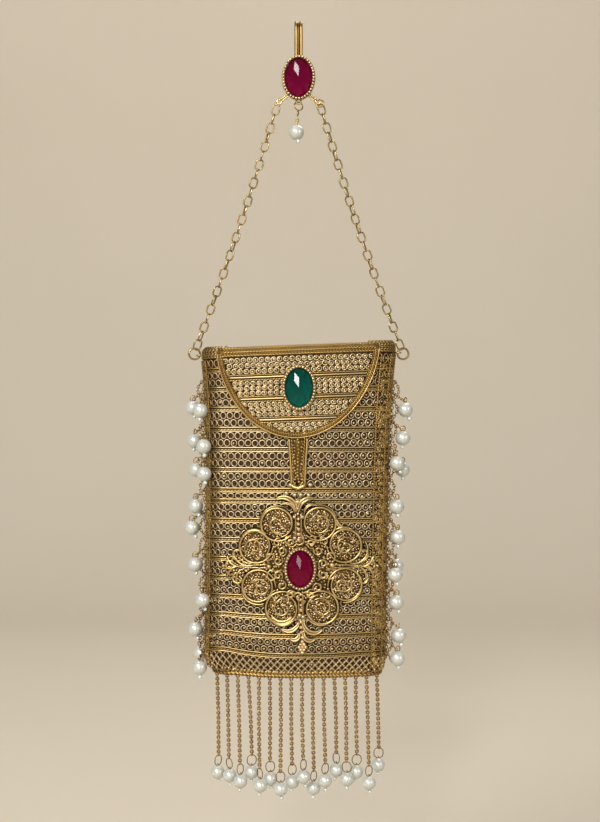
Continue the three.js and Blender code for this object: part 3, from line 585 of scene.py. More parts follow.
def flap_half(along):
    """Half the flap's width at a place along it: a half oval of its own power, straight above."""
    into = np.clip((along + FLAP_OVAL_TOP) / FLAP_OVAL, 0, 1)
    return FLAP_HALF * np.sqrt(1 - into**FLAP_POWER)


def even(path, step):
    """A path's points spaced evenly along it, about one to a step."""
    run = np.append(0, np.cumsum(np.linalg.norm(np.diff(path, axis=0), axis=1)))
    spots = np.linspace(0, run[-1], max(1, int(round(run[-1] / step))) + 1)
    return join(*(np.interp(spots, run, column) for column in path.T))


def across_flap(along, inset, step):
    """A straight path across the flap at one place along it, short of its edge by the inset."""
    half = flap_half(along) - inset
    return even(np.array([[-half, along], [half, along]]), step)[None]


sheet_along = [np.linspace(FLAP_BACK_END, 0, 46), np.linspace(2, 40, 20), np.linspace(41, 47.9, 12)]
sheet_along = np.concatenate(sheet_along)
sheet_share = np.linspace(-1, 1, 9)
sheet_x = (flap_half(sheet_along) - 0.8)[:, None] * np.concatenate([sheet_share, sheet_share[::-1]])
sheet_out = np.repeat([0.35, 0.1], 9)[None]
# A dark gauze sheet under the flap's lace: painted shade seen through its holes.
flap_shade_gauze = tubes(flap(sheet_x, sheet_along[:, None], sheet_out)[None], False, 0.5)
piece("flap_shade_gauze", [flap_shade_gauze], shade_gauze_finish)

flap_edges = [np.linspace(0.4, FLAP_BANDS[0] - FLAP_BAND_HALF, 4)]
for above, below in zip(FLAP_BANDS, np.append(FLAP_BANDS[1:], FLAP_LACE_END)):
    flap_edges.append(np.linspace(above + FLAP_BAND_HALF, below - FLAP_BAND_HALF, 4))
flap_edges.append(np.linspace(FLAP_BACK_END + 2.2, -7.2, 14))
flap_rows = [pair for edge in flap_edges for pair in zip(edge[:-1], edge[1:])]
flap_ends = flap_half(np.mean(flap_rows, axis=1)) - FLAP_RIM + 0.8
flap_sizes = (FLAP_RINGS, FLAP_WIRE, 0.7, RING_UNEVEN)
flap_net, flap_middles = net(flap, flap_rows, -flap_ends, flap_ends, *flap_sizes)
front_rings = flap_middles[flap_middles[:, 1] > 0]
front_rings = front_rings + rng.uniform(-0.25, 0.25, front_rings.shape)
flap_grains = balls(flap(*front_rings.T, 0.75), rng.uniform(*GRAIN_RADII, len(front_rings)))
flap_gold = gold("flap_gold", (0.80, 0.645, 0.385), (0.455, 0.305, 0.12), (0.03, 0.013, 0.004), 0.25)
piece("flap_lace", [flap_net, flap_grains], flap_gold, ["flap"])
fold_parts = []
for along, lay in FOLD_DULL_ROPES:
    fold_path = across_flap(along, FOLD_INSET, 0.45)
    fold_rope = wires(flap, fold_path, radius=0.55, rise=0.65, sides=8, lay=lay, depth=0.45)
    fold_parts.append(dulled(fold_rope, 0.6))
for along, lay in FOLD_BRIGHT_ROPES:
    fold_path = across_flap(along, FOLD_INSET, 0.5)
    fold_parts.append(wires(flap, fold_path, radius=0.6, rise=0.75, sides=8, lay=lay))
piece("flap_fold", fold_parts, rope_gold)
flap_bars = []
for along in FLAP_BANDS:
    flap_bars += [
        wires(flap, across_flap(along - 1.45, FLAP_RIM, 0.5), radius=0.44, rise=0.95, sides=8, lay=-1.7),
        wires(flap, across_flap(along - 0.1, FLAP_RIM, 2), radius=0.55, rise=0.85, sides=8, flat=0.8),
        wires(flap, across_flap(along + 1.5, FLAP_RIM, 0.5), radius=0.46, rise=0.95, sides=8, lay=1.7),
    ]
piece("flap_bands", flap_bars, band_gold)

# Flap rim. Three ropes of opposite lays, like a plait, follow the flap's edge from the back, over the mouth
# They are gilt brass, soldered on, and dark in between, where their flanks carry painted shade.
RIM_ROPE = 0.52
RIM_ROPES = ((-0.35, 1.5, 1.0, 0.6), (-1.25, -1.5, 1.3, 1.0), (-2.15, 1.5, 1.0, 0.55))


def flap_edge(out, step):
    """The flap's outline, moved outward: up one side from the back, round the half oval and back again."""
    angle = np.linspace(np.pi, FULL_TURN, 181)
    into = np.clip(-np.sin(angle), 0, 1)
    side = np.sign(np.cos(angle)) * np.sqrt(1 - into**FLAP_POWER)
    oval = join((FLAP_HALF + out) * side, into * (FLAP_OVAL + out) - FLAP_OVAL_TOP)
    start = np.array([[-FLAP_HALF - out, FLAP_BACK_END]])
    return even(np.concatenate([start, oval, start * [-1, 1]]), step)[None]


rim_parts = [dulled(wires(flap, flap_edge(0.7, 1.0), radius=0.5, rise=0.8), 0.75)]
for out, lay, rise, share in RIM_ROPES:
    rim_rope = wires(flap, flap_edge(out, 0.4), RIM_ROPE, rise, sides=8, lay=lay, depth=0.42)
    rim_parts.append(dulled(rim_rope, share))
piece("flap_plait", rim_parts, rope_gold, ["flap_rim"])

# Settings and stones. Each oval stone sits in a cup of gilt sheet, with a row of round grains over its lip
# and a rope about its foot. The stones are glass, rose cut: kites about a low point, over a ring of facets.
KITES = 8
STONE_BACK = (0.86, 0.0)
STONE_GIRDLE = (1.0, 1.3)
STONE_SHOULDER = (0.5, 4.2)
STONE_KITE_END = 0.82
STONE_POINT = 4.85
CUP_OFFSETS = np.array([1.2, 1.2, 0.95, 0.85, 0.6, 0.0, -0.2, 0.3, 0.3])
CUP_HEIGHTS = np.array([-2.0, 0.6, 1.2, 2.0, 2.2, 2.2, 1.9, 0.6, -2.0])
CUP_ROPE = 1.45
CUP_GRAINS = 0.8


def facets(turn):
    """A round rose-cut stone of radius 1: vertices (across, up, front) and faces, one kite at the turn.

    A kite's far corner lies in the plane of the point and of the two shoulders beside it.
    """
    kite = turn + np.arange(KITES) * FULL_TURN / KITES
    half_step = FULL_TURN / KITES / 2
    slope = (STONE_POINT - STONE_SHOULDER[1]) / (STONE_SHOULDER[0] * np.cos(half_step))
    corners = np.repeat(kite, 2) + np.tile([-half_step, 0], KITES)
    rings = [
        (corners, *STONE_BACK),
        (corners, *STONE_GIRDLE),
        (kite, STONE_KITE_END, STONE_POINT - slope * STONE_KITE_END),
        (kite - half_step, *STONE_SHOULDER),
    ]
    verts = [join(r * np.cos(a), r * np.sin(a), h) for a, r, h in rings]
    verts = np.concatenate(verts + [[[0, 0, STONE_POINT]]])
    around = 2 * KITES
    girdle, far, shoulder, point = around, 2 * around, 2 * around + KITES, 3 * around
    faces = [tuple(range(around - 1, -1, -1))]
    for k in range(around):
        after = (k + 1) % around
        faces.append((k, after, girdle + after, girdle + k))
    for k in range(KITES):
        low, mid, after = girdle + 2 * k, girdle + 2 * k + 1, girdle + (2 * k + 2) % around
        left, right = shoulder + k, shoulder + (k + 1) % KITES
        faces += [(point, left, far + k, right), (far + k, low, mid), (far + k, mid, after)]
        faces += [(left, low, far + k), (right, far + k, after)]
    return verts, faces


def glass(name, deep, painted_lit, painted_glow, gloss):
    """Coloured glass: deep in the middle, with painted light and a painted glow (weak emission) toward the
    low right.
    """
    fixed = {"Emission Strength": 0.12, "IOR": 1.5, "Specular IOR Level": gloss}
    material, shader, spot = finish(name, fixed)
    veil = noise(spot, 160.0, 4.0)
    facing = spot.node("ShaderNodeAttribute", {"attribute_name": "painted_glow"}, {}, "Fac")
    amount = (facing + (veil - 0.5) * 0.5).range(0, 1)
    amount.blend((*deep, 1), (*painted_lit, 1)).to(shader, "Base Color")
    amount.blend((0, 0, 0, 1), (*painted_glow, 1)).to(shader, "Emission Color")
    (0.05 + 0.05 * veil).to(shader, "Roughness")
    return material


def stone(name, node, material, turn, shift=(0, 0)):
    """A cut stone in its node's box, moved across and up by the shift: its middle, half sizes and back."""
    low, high = np.array(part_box(node)) / MM + [shift[0], 0, shift[1]]
    middle = (low + high) / 2
    half = (high - low) / 2
    cut, faces = facets(np.radians(turn))
    x, z, front = cut.T
    verts = join(middle[0] + x * half[0], high[1] - front, middle[2] + z * half[2]) * MM
    mesh = bpy.data.meshes.new(name)
    mesh.from_pydata(verts.tolist(), [], faces)
    # Painted glow: lighter and glowing toward the low right of the stone, though nothing lights it from
    # inside.
    painted_glow = np.clip(0.45 - 0.55 * z + 0.25 * x, 0, 1) * np.hypot(x, z)
    mesh.attributes.new("painted_glow", "FLOAT", "POINT").data.foreach_set("value", painted_glow.astype(np.float32))
    shown(name, mesh, material, [node])
    return middle, half, high[1]


def oval(across, up, step):
    """An oval path of the given half sizes, its points about a step apart."""
    angle = np.linspace(0, FULL_TURN, 241)
    return even(join(across * np.cos(angle), up * np.sin(angle)), step)[:-1]


def setting(middle, half, back):
    """A stone's cup with its foot rope and lip grains, as parts of the piece that carries it."""

    def plane(x, z, out):
        return join(middle[0] + x, back - out, middle[2] + z)

    across, up = half[0], half[2]
    angle = np.arange(48)[:, None] * FULL_TURN / 48
    cup = plane((across + CUP_OFFSETS) * np.cos(angle), (up + CUP_OFFSETS) * np.sin(angle), CUP_HEIGHTS)
    foot = oval(across + CUP_ROPE, up + CUP_ROPE, 0.4)
    grains = oval(across + CUP_GRAINS, up + CUP_GRAINS, 1.85)
    return [
        tubes(cup[None], True, np.clip(CUP_HEIGHTS / 14, 0.02, 0.2)),
        dulled(wires(plane, foot[None], radius=0.4, rise=0.6, sides=8, closed=True, lay=1.2), 0.85),
        balls(plane(*grains.T, 2.5), 0.78, cuts=3),
    ]


# Each glass gets a deep colour, a painted light colour and a painted glow colour.
emerald = glass("emerald_glass", (0.0005, 0.046, 0.036), (0.001, 0.098, 0.072), (0.0005, 0.1, 0.07), 0.13)
setting_gold = gold("setting_gold", (0.92, 0.73, 0.46), (0.48, 0.31, 0.12), (0.026, 0.012, 0.004), 0.2)
emerald_seat = stone("flap_stone", "flap_emerald", emerald, 112)
piece("flap_setting", setting(*emerald_seat), setting_gold, ["flap_bezel"])

# Tongue. A narrow strip hangs from the flap's tip to the plaque and holds the flap shut. A gilt wire and a
# rope follow its edge, with grains between them and a thick lip at its end, over a dark plate of painted
# shade.
TONGUE_TOP = 49.6
TONGUE_END = 78.0
TONGUE_FOOT = TONGUE_END - 2.6
TONGUE_HALF = ((TONGUE_TOP, 66, TONGUE_END), (5.4, 4.3, 3.9))
TONGUE_CUP = (3.95, 3.3)
TONGUE_GRAINS = np.array([[-2.1, 0.9], [0.0, 0.0], [2.1, 0.9]])
TONGUE_GRAIN_STEP = 1.9
TONGUE_LIP = [[-4.4, 75.6], [-3, 77.8], [0, 78.9], [3, 77.8], [4.4, 75.6]]
TONGUE_LIP_RADII = [0.7, 1.1, 1.3, 1.1, 0.7]
tongue_along = np.linspace(TONGUE_TOP, TONGUE_FOOT, 12)
tongue_half = np.interp(tongue_along, *TONGUE_HALF)
tongue_side = join(tongue_half, tongue_along)
tongue_turn = np.linspace(0, np.pi, 13)[1:-1]
tongue_cup = join(TONGUE_CUP[0] * np.cos(tongue_turn), TONGUE_FOOT + TONGUE_CUP[1] * np.sin(tongue_turn))
tongue_path = np.concatenate([tongue_side, tongue_cup, (tongue_side * [-1, 1])[::-1]])
tongue_inner = tongue_path * [0.72, 1] - [0, 0.9]
tongue_shape = join(tongue_half, -tongue_half, -tongue_half, tongue_half)
tongue_rings = flap(tongue_shape, tongue_along[:, None], np.array([0.6, 0.6, 0.1, 0.1]))
grain_rows = np.arange(TONGUE_TOP + 0.6, TONGUE_END - 1.2, TONGUE_GRAIN_STEP)
grain_spread = np.interp(grain_rows, [TONGUE_TOP, TONGUE_END], [1.2, 0.8])
grain_x = (TONGUE_GRAINS[:, 0] * grain_spread[:, None]).ravel()
grain_z = (grain_rows[:, None] + TONGUE_GRAINS[:, 1]).ravel() + rng.uniform(-0.4, 0.4, grain_x.shape)
grain_x = grain_x + rng.uniform(-0.5, 0.5, grain_x.shape)
tongue_parts = [
    # The dark plate under the tongue's wires is painted shade.
    tubes(tongue_rings[None], False, 0.24),
    wires(flap, even(tongue_path, 0.8)[None], radius=0.72, rise=1.0),
    wires(flap, even(tongue_inner, 0.5)[None], radius=0.48, rise=1.0, sides=8, lay=2.0),
    balls(flap(grain_x, grain_z, 1.0), rng.uniform(0.5, 0.85, grain_x.shape)),
    wires(flap, [TONGUE_LIP], [TONGUE_LIP_RADII], rise=1.2),
]
piece("tongue_strip", tongue_parts, rope_gold, ["flap_tongue"])

# Plaque. A pierced filigree jewel lies on the front: eight wire hoops round a ruby, each packed with grains
# and curls about a spiral, with scrolls, split leaves and rows of beads between and beyond them.
# It is gilt brass over dark strips and pads, painted shadow lines and painted shade, and a berry of beads
# ends it below.
PLAQUE_SHIFT = (1.3, 1.3)
PLAQUE_DROP = 127.7 - PLAQUE_SHIFT[1]
PLAQUE_OFF = 1.0
ROSETTES = np.array([
    [-13.6, 26.6, 10.0], [11.2, 27.0, 10.0], [-26.6, 13.2, 9.9], [26.4, 14.0, 10.2],
    [-25.0, -10.7, 9.9], [26.8, -9.8, 10.0], [-10.8, -23.6, 9.9], [12.6, -23.4, 10.1],
])
ROSETTE_GRAINS = 105
ROSETTE_CURLS = 15
GRAIN_RISES = (0.3, 1.0)
ROSETTE_CLEAR = 0.7
RUBY_CLEAR = (9.6, 12.8)
GROUND_EDGE = 35
BARE_SPOT = (5, -12.5, 2.1)
WING = (37.5, 1.2)
WING_HALF = (7.5, 9.0)
LOOPS = 7
LOOP_OVAL = (13.6, 16.8)
TOP_BEADS_FROM = 39
plaque_line = wall(np.linspace(RUN_ENDS[3], RUN_ENDS[6], 400), PLAQUE_DROP, 0.0)
plaque_gold = gold("plaque_gold", (0.62, 0.45, 0.192), (0.285, 0.174, 0.05), (0.016, 0.007, 0.003), 0.21)
grain_gold = gold("grain_gold", (0.81, 0.625, 0.355), (0.345, 0.22, 0.082), (0.024, 0.011, 0.004), 0.17)


def plaque(across, up, out):
    """The plaque's surface, just off the front wall: millimetres across and up from its ruby, and out."""
    across = across + PLAQUE_SHIFT[0]
    y = np.interp(across, plaque_line[:, 0], plaque_line[:, 1]) - PLAQUE_OFF - out
    return join(across, y, MOUTH_Z - PLAQUE_DROP + up)


def scrolls(rows, points=30):
    """Arcs whose radius runs evenly from one size to another, shape (rows, points, 2).

    A row gives the centre across and up, first and last radius, and first and last angle in degrees.
    """
    rows = np.asarray(rows, dtype=float)[:, :, None]
    share = np.linspace(0, 1, points)
    radius = rows[:, 2] + (rows[:, 3] - rows[:, 2]) * share
    angle = np.radians(rows[:, 4] + (rows[:, 5] - rows[:, 4]) * share)
    return join(rows[:, 0] + radius * np.cos(angle), rows[:, 1] + radius * np.sin(angle))


def tapered(thick, points=30, ends=0.3):
    """Radii along a wire that swells from thin ends to the middle."""
    swell = ends + (1 - ends) * np.sin(np.linspace(0, np.pi, points)) ** 0.8
    return np.asarray(thick, dtype=float)[:, None] * swell


def seeds(count, reach):
    """Points spread evenly over a disc, each a golden angle on from the last."""
    order = np.arange(count) + 0.5
    angle = order * np.pi * (3 - np.sqrt(5))
    return (reach * np.sqrt(order / count))[:, None] * join(np.cos(angle), np.sin(angle))


def shade_pads(place, middles, reach, thick, rise, wear_and_shade):
    """Thin dark lenses on a surface: painted shade, the dark ground that open work is seen against."""
    verts, faces = ball_shape(5)
    middles = np.asarray(middles, dtype=float)[:, None]
    reach = np.asarray(reach, dtype=float)[:, None]
    spot = middles + reach * verts[:, [0, 2]]
    spread = place(spot[..., 0], spot[..., 1], rise - thick * verts[:, 1])
    shift = np.arange(len(middles))[:, None, None] * len(verts)
    return spread.reshape(-1, 3), (faces + shift).reshape(-1, 4), np.full(spread.size // 3, wear_and_shade)


def outlined(path, thick, rise):
    """Wires over a darker, wider strip, which is a painted shadow line along both edges."""
    return [
        dulled(wires(plaque, path, thick + 0.42, rise - 0.75, flat=0.45), 0.24),
        wires(plaque, path, thick, rise, sides=8, flat=0.9),
    ]


hoop_middles, hoop_radii = ROSETTES[:, None, :2], ROSETTES[:, 2, None, None]
inward = np.degrees(np.arctan2(-ROSETTES[:, 1], -ROSETTES[:, 0]))
hoop_turn = np.where(ROSETTES[:, 0] * ROSETTES[:, 1] > 0, 1, -1)
hoop_rows = join(
    *ROSETTES[:, :2].T, ROSETTES[:, 2] * 1.05, ROSETTES[:, 2] * 0.82,
    inward - 25 * hoop_turn, inward + 375 * hoop_turn,
)
hoops = scrolls(hoop_rows, 60)
rosette_spots = hoop_middles + seeds(ROSETTE_GRAINS, 1.0) * (hoop_radii - 1.3)
rosette_spots = (rosette_spots + rng.uniform(-0.35, 0.35, rosette_spots.shape)).reshape(-1, 2)
curl_middles = (hoop_middles + seeds(ROSETTE_CURLS, 1.0) * (hoop_radii - 2.6)).reshape(-1, 2)
curl_count = len(curl_middles)
curl_from = rng.uniform(0, 360, curl_count)
curl_first = rng.uniform(1.3, 2.1, curl_count)
curl_last = rng.uniform(0.7, 1.2, curl_count)
curl_sweep = rng.choice([-1, 1], curl_count) * rng.uniform(150, 260, curl_count)
curl_rows = join(*curl_middles.T, curl_first, curl_last, curl_from, curl_from + curl_sweep)
big_curls = scrolls([
    [-23.4, -11.6, 5.6, 1.2, 150, -330], [25.2, -9.2, 6.2, 1.0, 100, -420], [26.6, 13.2, 6.0, 1.2, 20, 520],
    [-27.2, 12.6, 6.4, 2.0, 230, -80], [-13.2, 26.4, 6.3, 3.2, 300, 90], [11.6, 27.4, 6.4, 3.4, 250, 470],
    [-10.4, -23.6, 6.2, 1.6, 60, 480], [12.4, -23.4, 6.4, 3.0, 130, -160],
], 48)
rosette_parts = [
    # Dark pads of painted shade under the hoops and the middle.
    shade_pads(plaque, ROSETTES[:, :2], ROSETTES[:, 2:], 0.3, 0.0, 0.2),
    shade_pads(plaque, [[0, 1], [0, 1]], [[20, 29], [30, 15]], 0.3, -0.15, 0.14),
    *outlined(hoops, tapered(np.full(8, 0.68), 60, 0.55), 1.7),
    wires(plaque, big_curls, tapered(np.full(8, 0.58), 48, 0.5), rise=1.75),
]
piece("plaque_rosettes", rosette_parts, plaque_gold)


def clear_of_hoops(spots):
    """The spots that lie outside all eight hoops."""
    away = np.linalg.norm(spots[:, None] - ROSETTES[:, :2], axis=2)
    return (away > ROSETTES[:, 2] + ROSETTE_CLEAR).all(axis=1)


def beads(spots, smallest, largest):
    """Grains of random sizes at random heights on the plaque."""
    rises = rng.uniform(*GRAIN_RISES, len(spots))
    return balls(plaque(*spots.T, rises), rng.uniform(smallest, largest, len(spots)))


ground = seeds(1300, 37.0)
ground_x, ground_z = np.abs(ground[:, 0]), ground[:, 1]
open_ground = clear_of_hoops(ground) & (ground_x + np.abs(ground_z) < GROUND_EDGE)
open_ground &= np.hypot(ground_x / RUBY_CLEAR[0], ground_z / RUBY_CLEAR[1]) > 1
open_ground &= np.hypot(ground_x - BARE_SPOT[0], ground_z - BARE_SPOT[1]) > BARE_SPOT[2]
ground = ground[open_ground]
ground = ground + rng.uniform(-0.7, 0.7, ground.shape)
wings = np.concatenate([seeds(70, 1.0) * WING_HALF + [side * WING[0], WING[1]] for side in (1, -1)])
ground = np.concatenate([ground, wings[clear_of_hoops(wings)]])
grain_parts = [
    wires(plaque, scrolls(curl_rows, 9), tapered(np.full(curl_count, 0.46), 9, 0.5), rise=1.1, sides=4),
    beads(rosette_spots, 0.42, 0.74),
    beads(ground, 0.5, 0.9),
]
piece("plaque_grains", grain_parts, grain_gold)

loop_turn = np.repeat(np.arange(LOOPS) * 360 / LOOPS + 102, 2) + np.tile([-11, 11], LOOPS)
loop_way = np.tile([1, -1], LOOPS)
loop_angle = np.radians(loop_turn)
loop_rows = join(
    LOOP_OVAL[0] * np.cos(loop_angle), LOOP_OVAL[1] * np.sin(loop_angle), 2.9, 0.7,
    loop_turn + 180 - 60 * loop_way, loop_turn + 180 + 400 * loop_way,
)
crescents = scrolls([
    [-26.6, 12.2, 10.4, 10.4, 52, 140], [25.8, 14.0, 10.3, 10.3, 60, 120],
    [36.8, 8.4, 4.2, 1.1, 240, 620], [36.8, -6.2, 4.2, 1.1, 120, -260],
    [-36.8, 8.4, 4.2, 1.1, 300, -80], [-36.8, -6.2, 4.2, 1.1, 60, 440],
    [42.0, 1.6, 3.4, 1.0, 180, -180], [-42.0, 1.6, 3.4, 1.0, 0, 360],
    [-13.4, 26.6, 10.5, 10.5, 60, 175], [11.2, 27.2, 10.5, 10.5, 10, 110],
    [-30.6, 10.0, 9.0, 8.2, 182, 292], [31.6, 10.6, 8.6, 7.4, 40, -118],
    [-29.6, 10.4, 7.6, 7.2, 205, 300], [-31.8, -6.4, 6.6, 6.0, 110, 236],
    [33.0, -5.4, 6.8, 5.6, 84, -40], [-25.0, -11.0, 10.3, 10.3, 200, 292],
    [26.2, -9.6, 10.5, 10.5, -95, -10], [-10.8, -24.0, 7.2, 7.2, 205, 325],
    [-10.8, -24.0, 9.4, 9.4, 235, 318], [12.1, -23.8, 9.6, 9.6, 225, 310],
    [37.0, 8.6, 7.6, 6.4, 262, 350], [37.0, -6.2, 7.6, 6.4, 98, 10],
    [-37.0, 8.6, 7.6, 6.4, 278, 190], [-37.0, -6.2, 7.6, 6.4, 82, 170],
    [40.6, 4.4, 3.2, 2.4, 200, 20], [-40.6, 4.4, 3.2, 2.4, -20, 160],
    [-17.2, 6.4, 3.4, 1.4, 260, -60], [17.6, 7.0, 3.4, 1.4, 280, 600],
    [-16.6, -4.4, 3.8, 1.5, 60, 400], [17.4, -3.6, 3.8, 1.5, 120, -220],
    [-6.6, 17.4, 3.6, 1.3, 340, 40], [6.6, 17.6, 3.6, 1.3, 200, 500],
    [-4.4, -17.6, 4.2, 3.4, 40, 160], [4.4, -17.6, 4.2, 3.4, 140, 20],
    [-13.6, 15.4, 2.8, 1.0, 0, 360], [14.0, 16.0, 2.8, 1.0, 180, -180],
    [-14.6, -15.6, 2.8, 1.0, 90, 450], [15.4, -15.2, 2.8, 1.0, 90, -270],
])
crescent_thick = [
    1.35, 0.9, *[0.75] * 4, 0.7, 0.7, 0.4, 0.4, 0.7, 0.75, 0.5, 0.75, 0.75, 0.6, 0.6, 1.2, 1.05, 0.7,
    *[0.85] * 4, 0.6, 0.6, *[0.65] * 6, 0.7, 0.7, *[0.5] * 4,
]
stems = np.array([
    [[-19.0, 2.4], [-37.0, 1.6]], [[-19.0, 0.4], [-37.0, 0.8]],
    [[19.0, 2.4], [37.0, 1.8]], [[19.0, 0.4], [37.0, 0.9]],
    [[-2.9, 33.0], [-2.5, 15.5]], [[0.5, 33.0], [0.5, 15.5]],
    [[-1.0, -17.5], [-0.6, -34.0]], [[1.6, -17.5], [1.4, -34.0]],
])
stems = stems[:, :1] + (stems[:, 1:] - stems[:, :1]) * np.linspace(0, 1, 10)[:, None]
leaf_rows = np.array([
    [-9.5, 34.2, 7.0, 8.2, -6, 126], [6.2, 34.7, 7.0, 6.9, 187, 74], [-8.4, 33.4, 4.9, 5.4, 0, 118],
    [7.6, 33.2, 5.2, 4.6, 184, 60], [-7.2, -30.6, 6.3, 6.3, -8, -130], [8.6, -31.8, 7.0, 5.9, 162, 316],
    [-3.7, -39.4, 2.9, 2.6, 30, -142], [6.2, -38.6, 4.6, 3.7, 152, 314], [-10.8, -24.6, 8.0, 8.0, 212, 318],
    [26.0, 29.0, 4.6, 4.6, 178, 272],
])
leaves = scrolls(leaf_rows, 40)
leaf_thick = tapered([1.65, 1.55, 0.8, 0.8, 1.35, 1.5, 1.35, 1.4, 1.4, 1.1], 40, 0.3)
leaf_side = 0.52 * leaf_thick[..., None] * unit(leaves - leaf_rows[:, None, :2])
leaf_parts = [
    # A wider dark wire under each leaf: a painted shadow line along its edges.
    dulled(wires(plaque, leaves, leaf_thick + 0.42, rise=0.7, flat=0.45), 0.15),
    wires(plaque, leaves + leaf_side, 0.56 * leaf_thick, rise=1.5),
    wires(plaque, leaves - leaf_side, 0.56 * leaf_thick, rise=1.3),
]
berry = join(1.2, np.linspace(-42.2, -49.6, 14))[None]
column = np.array([
    [-5.8, 49.5], [5.8, 49.6], [-8.2, 44.7], [-3.4, 43.7], [0.2, 43.7], [4.9, 43.6], [-1.6, 39.6],
    [-1.7, 35.6], [-1.4, 32.4], [-1.2, 29.4], [-1.2, 26.4], [-1.1, 23.4], [-1.0, 20.4], [-3.4, 18.2],
    [1.4, 18.2], [-3.6, 30.6], [1.2, 30.6], [-1.0, 17.0], [0.2, -15.2], [0.2, -18.4], [0.4, -21.4],
    [0.4, -24.4], [-0.4, -27.4], [1.6, -28.4], [0.4, -31.4], [0.4, -34.6], [0.6, -37.6], [1.0, -40.6],
    [1.2, -43.1], [0.2, -44.7], [2.2, -44.7], [-0.8, -46.3], [1.2, -46.3], [3.2, -46.3], [0.2, -47.9],
    [2.2, -47.9], [1.2, -49.5],
])
bosses = np.array([
    [-18.6, 1.2, 1.7], [18.8, 2.0, 2.0], [33.8, 1.4, 1.1], [-33.8, 1.2, 1.1], [4.8, -48.4, 0.8],
    [-9.6, -34.4, 0.9], [45.6, 1.4, 1.1], [-45.6, 1.4, 1.1], [-43.4, 4.6, 0.8], [43.4, 4.6, 0.8],
    [-43.4, -2.2, 0.8], [43.4, -2.2, 0.8],
])
# The ruby's deep colour, painted light colour and painted glow colour.
ruby_colours = (0.11, 0.0003, 0.017), (0.165, 0.0006, 0.026), (0.18, 0.001, 0.022)
plaque_ruby = glass("plaque_ruby_glass", *ruby_colours, 0.13)
ruby_seat = stone("plaque_stone", "medallion_ruby", plaque_ruby, 104, PLAQUE_SHIFT)
scroll_parts = [
    *outlined(crescents, tapered(crescent_thick), 1.35),
    wires(plaque, stems, radius=0.5, rise=1.0),
    wires(plaque, scrolls(loop_rows, 40), tapered(np.full(2 * LOOPS, 0.62), 40, 0.6), rise=1.5),
    balls(plaque(*bosses[:, :2].T, 1.0), bosses[:, 2], cuts=4),
]
piece("plaque_scrolls", scroll_parts, plaque_gold, ["medallion"])
piece("plaque_leaves", leaf_parts, band_gold)
column_radii = np.where(column[:, 1] > TOP_BEADS_FROM, 1.5, rng.uniform(0.95, 1.35, len(column)))
column_beads = dulled(balls(plaque(*column.T, 1.5), column_radii, cuts=3), 0.85)
# A dark tapered strip under the berry's beads: painted shade between them.
berry_shade_ground = wires(plaque, berry, tapered([3.3], 14, 0.12), rise=0.4, sides=8, flat=0.3)
piece("plaque_setting", [*setting(*ruby_seat), column_beads, dulled(berry_shade_ground, 0.15)], setting_gold)

# Fringe. Two gilt ropes of opposite lay bind the base, and sixteen strands of fine cable chain hang evenly
# from their front. Each ends in an oval jump ring and an imitation pearl, which has a seed bead under it.
PEARL_FULL = 1.11
STRANDS = 16
FRINGE_PEARLS = [f"pearl_fringe_{k:02d}" for k in range(1, STRANDS + 1)]
FRINGE_ROPE = 1.25
BASE_ROPES = ((-2.0, 2.4), (0.1, -2.4))
STRAND_ENDS = (-48.9, 47.0)
STRAND_LINK = (1.5, 2.9, 2.6, 0.42)
JUMP_RING = (6.9, 6.1, 0.27)
PEARL_EYE = (2.2, 1.7, 0.24)
JUMP_RISE = 5.6
JUMP_GAP = 0.7
EYE_GAP = 0.6
FRINGE_SHIFT = (0, 0, 1.3)


def base_edge(along, down, out):
    """The outline of the pouch's base, at millimetres under it."""
    return wall(along, BODY_HEIGHT, out) - join(0, 0, down)


def chain(path, pitch, length, width, wire, steps=8, sides=4, loose=0.25):
    """A chain along a path: links a pitch apart, each turned a quarter from the last, within some slack."""
    knots = even(path, pitch)
    axes = unit(np.diff(knots, axis=0))
    side = unit(np.cross(axes, [0, 1, 0]))
    turn = np.arange(len(axes)) % 2 * np.pi / 2 + rng.uniform(-loose, loose, len(axes))
    widths = side * np.cos(turn)[:, None] + np.cross(axes, side) * np.sin(turn)[:, None]
    return links((knots[:-1] + knots[1:]) / 2, axes, widths, length, width, wire, steps, sides)


def pearl_places(nodes, shift=(0, 0, 0)):
    """The middles of pearl nodes, moved by the shift, and their radii."""
    boxes = np.array([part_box(node) for node in nodes]) / MM
    return boxes.mean(axis=1) + shift, (boxes[:, 1, 2] - boxes[:, 0, 2]) / 2


def nacre(name, body, painted_shade, tint):
    """Imitation pearl: a white coat over a bead, cool and warm in clouds, with painted shade on its
    underside and right.
    """
    fixed = {"Metallic": 0.3, "IOR": 1.65, "Coat Weight": 0.5, "Coat IOR": 1.7, "Coat Roughness": 0.2}
    material, shader, spot = finish(name, fixed)
    cloud = noise(spot, 120.0, 2.0)
    fine = noise(spot, 900.0, 2.0)
    colour = cloud.range(0.35, 0.7).blend((*body, 1), (*tint, 1))
    under_shade = spot.node("ShaderNodeAttribute", {"attribute_name": "wear_and_shade"}, {}, "Fac")
    under_shade.range(0.0, 0.75).blend((*painted_shade, 1), colour).to(shader, "Base Color")
    (0.24 + 0.12 * fine).to(shader, "Roughness")
    return material


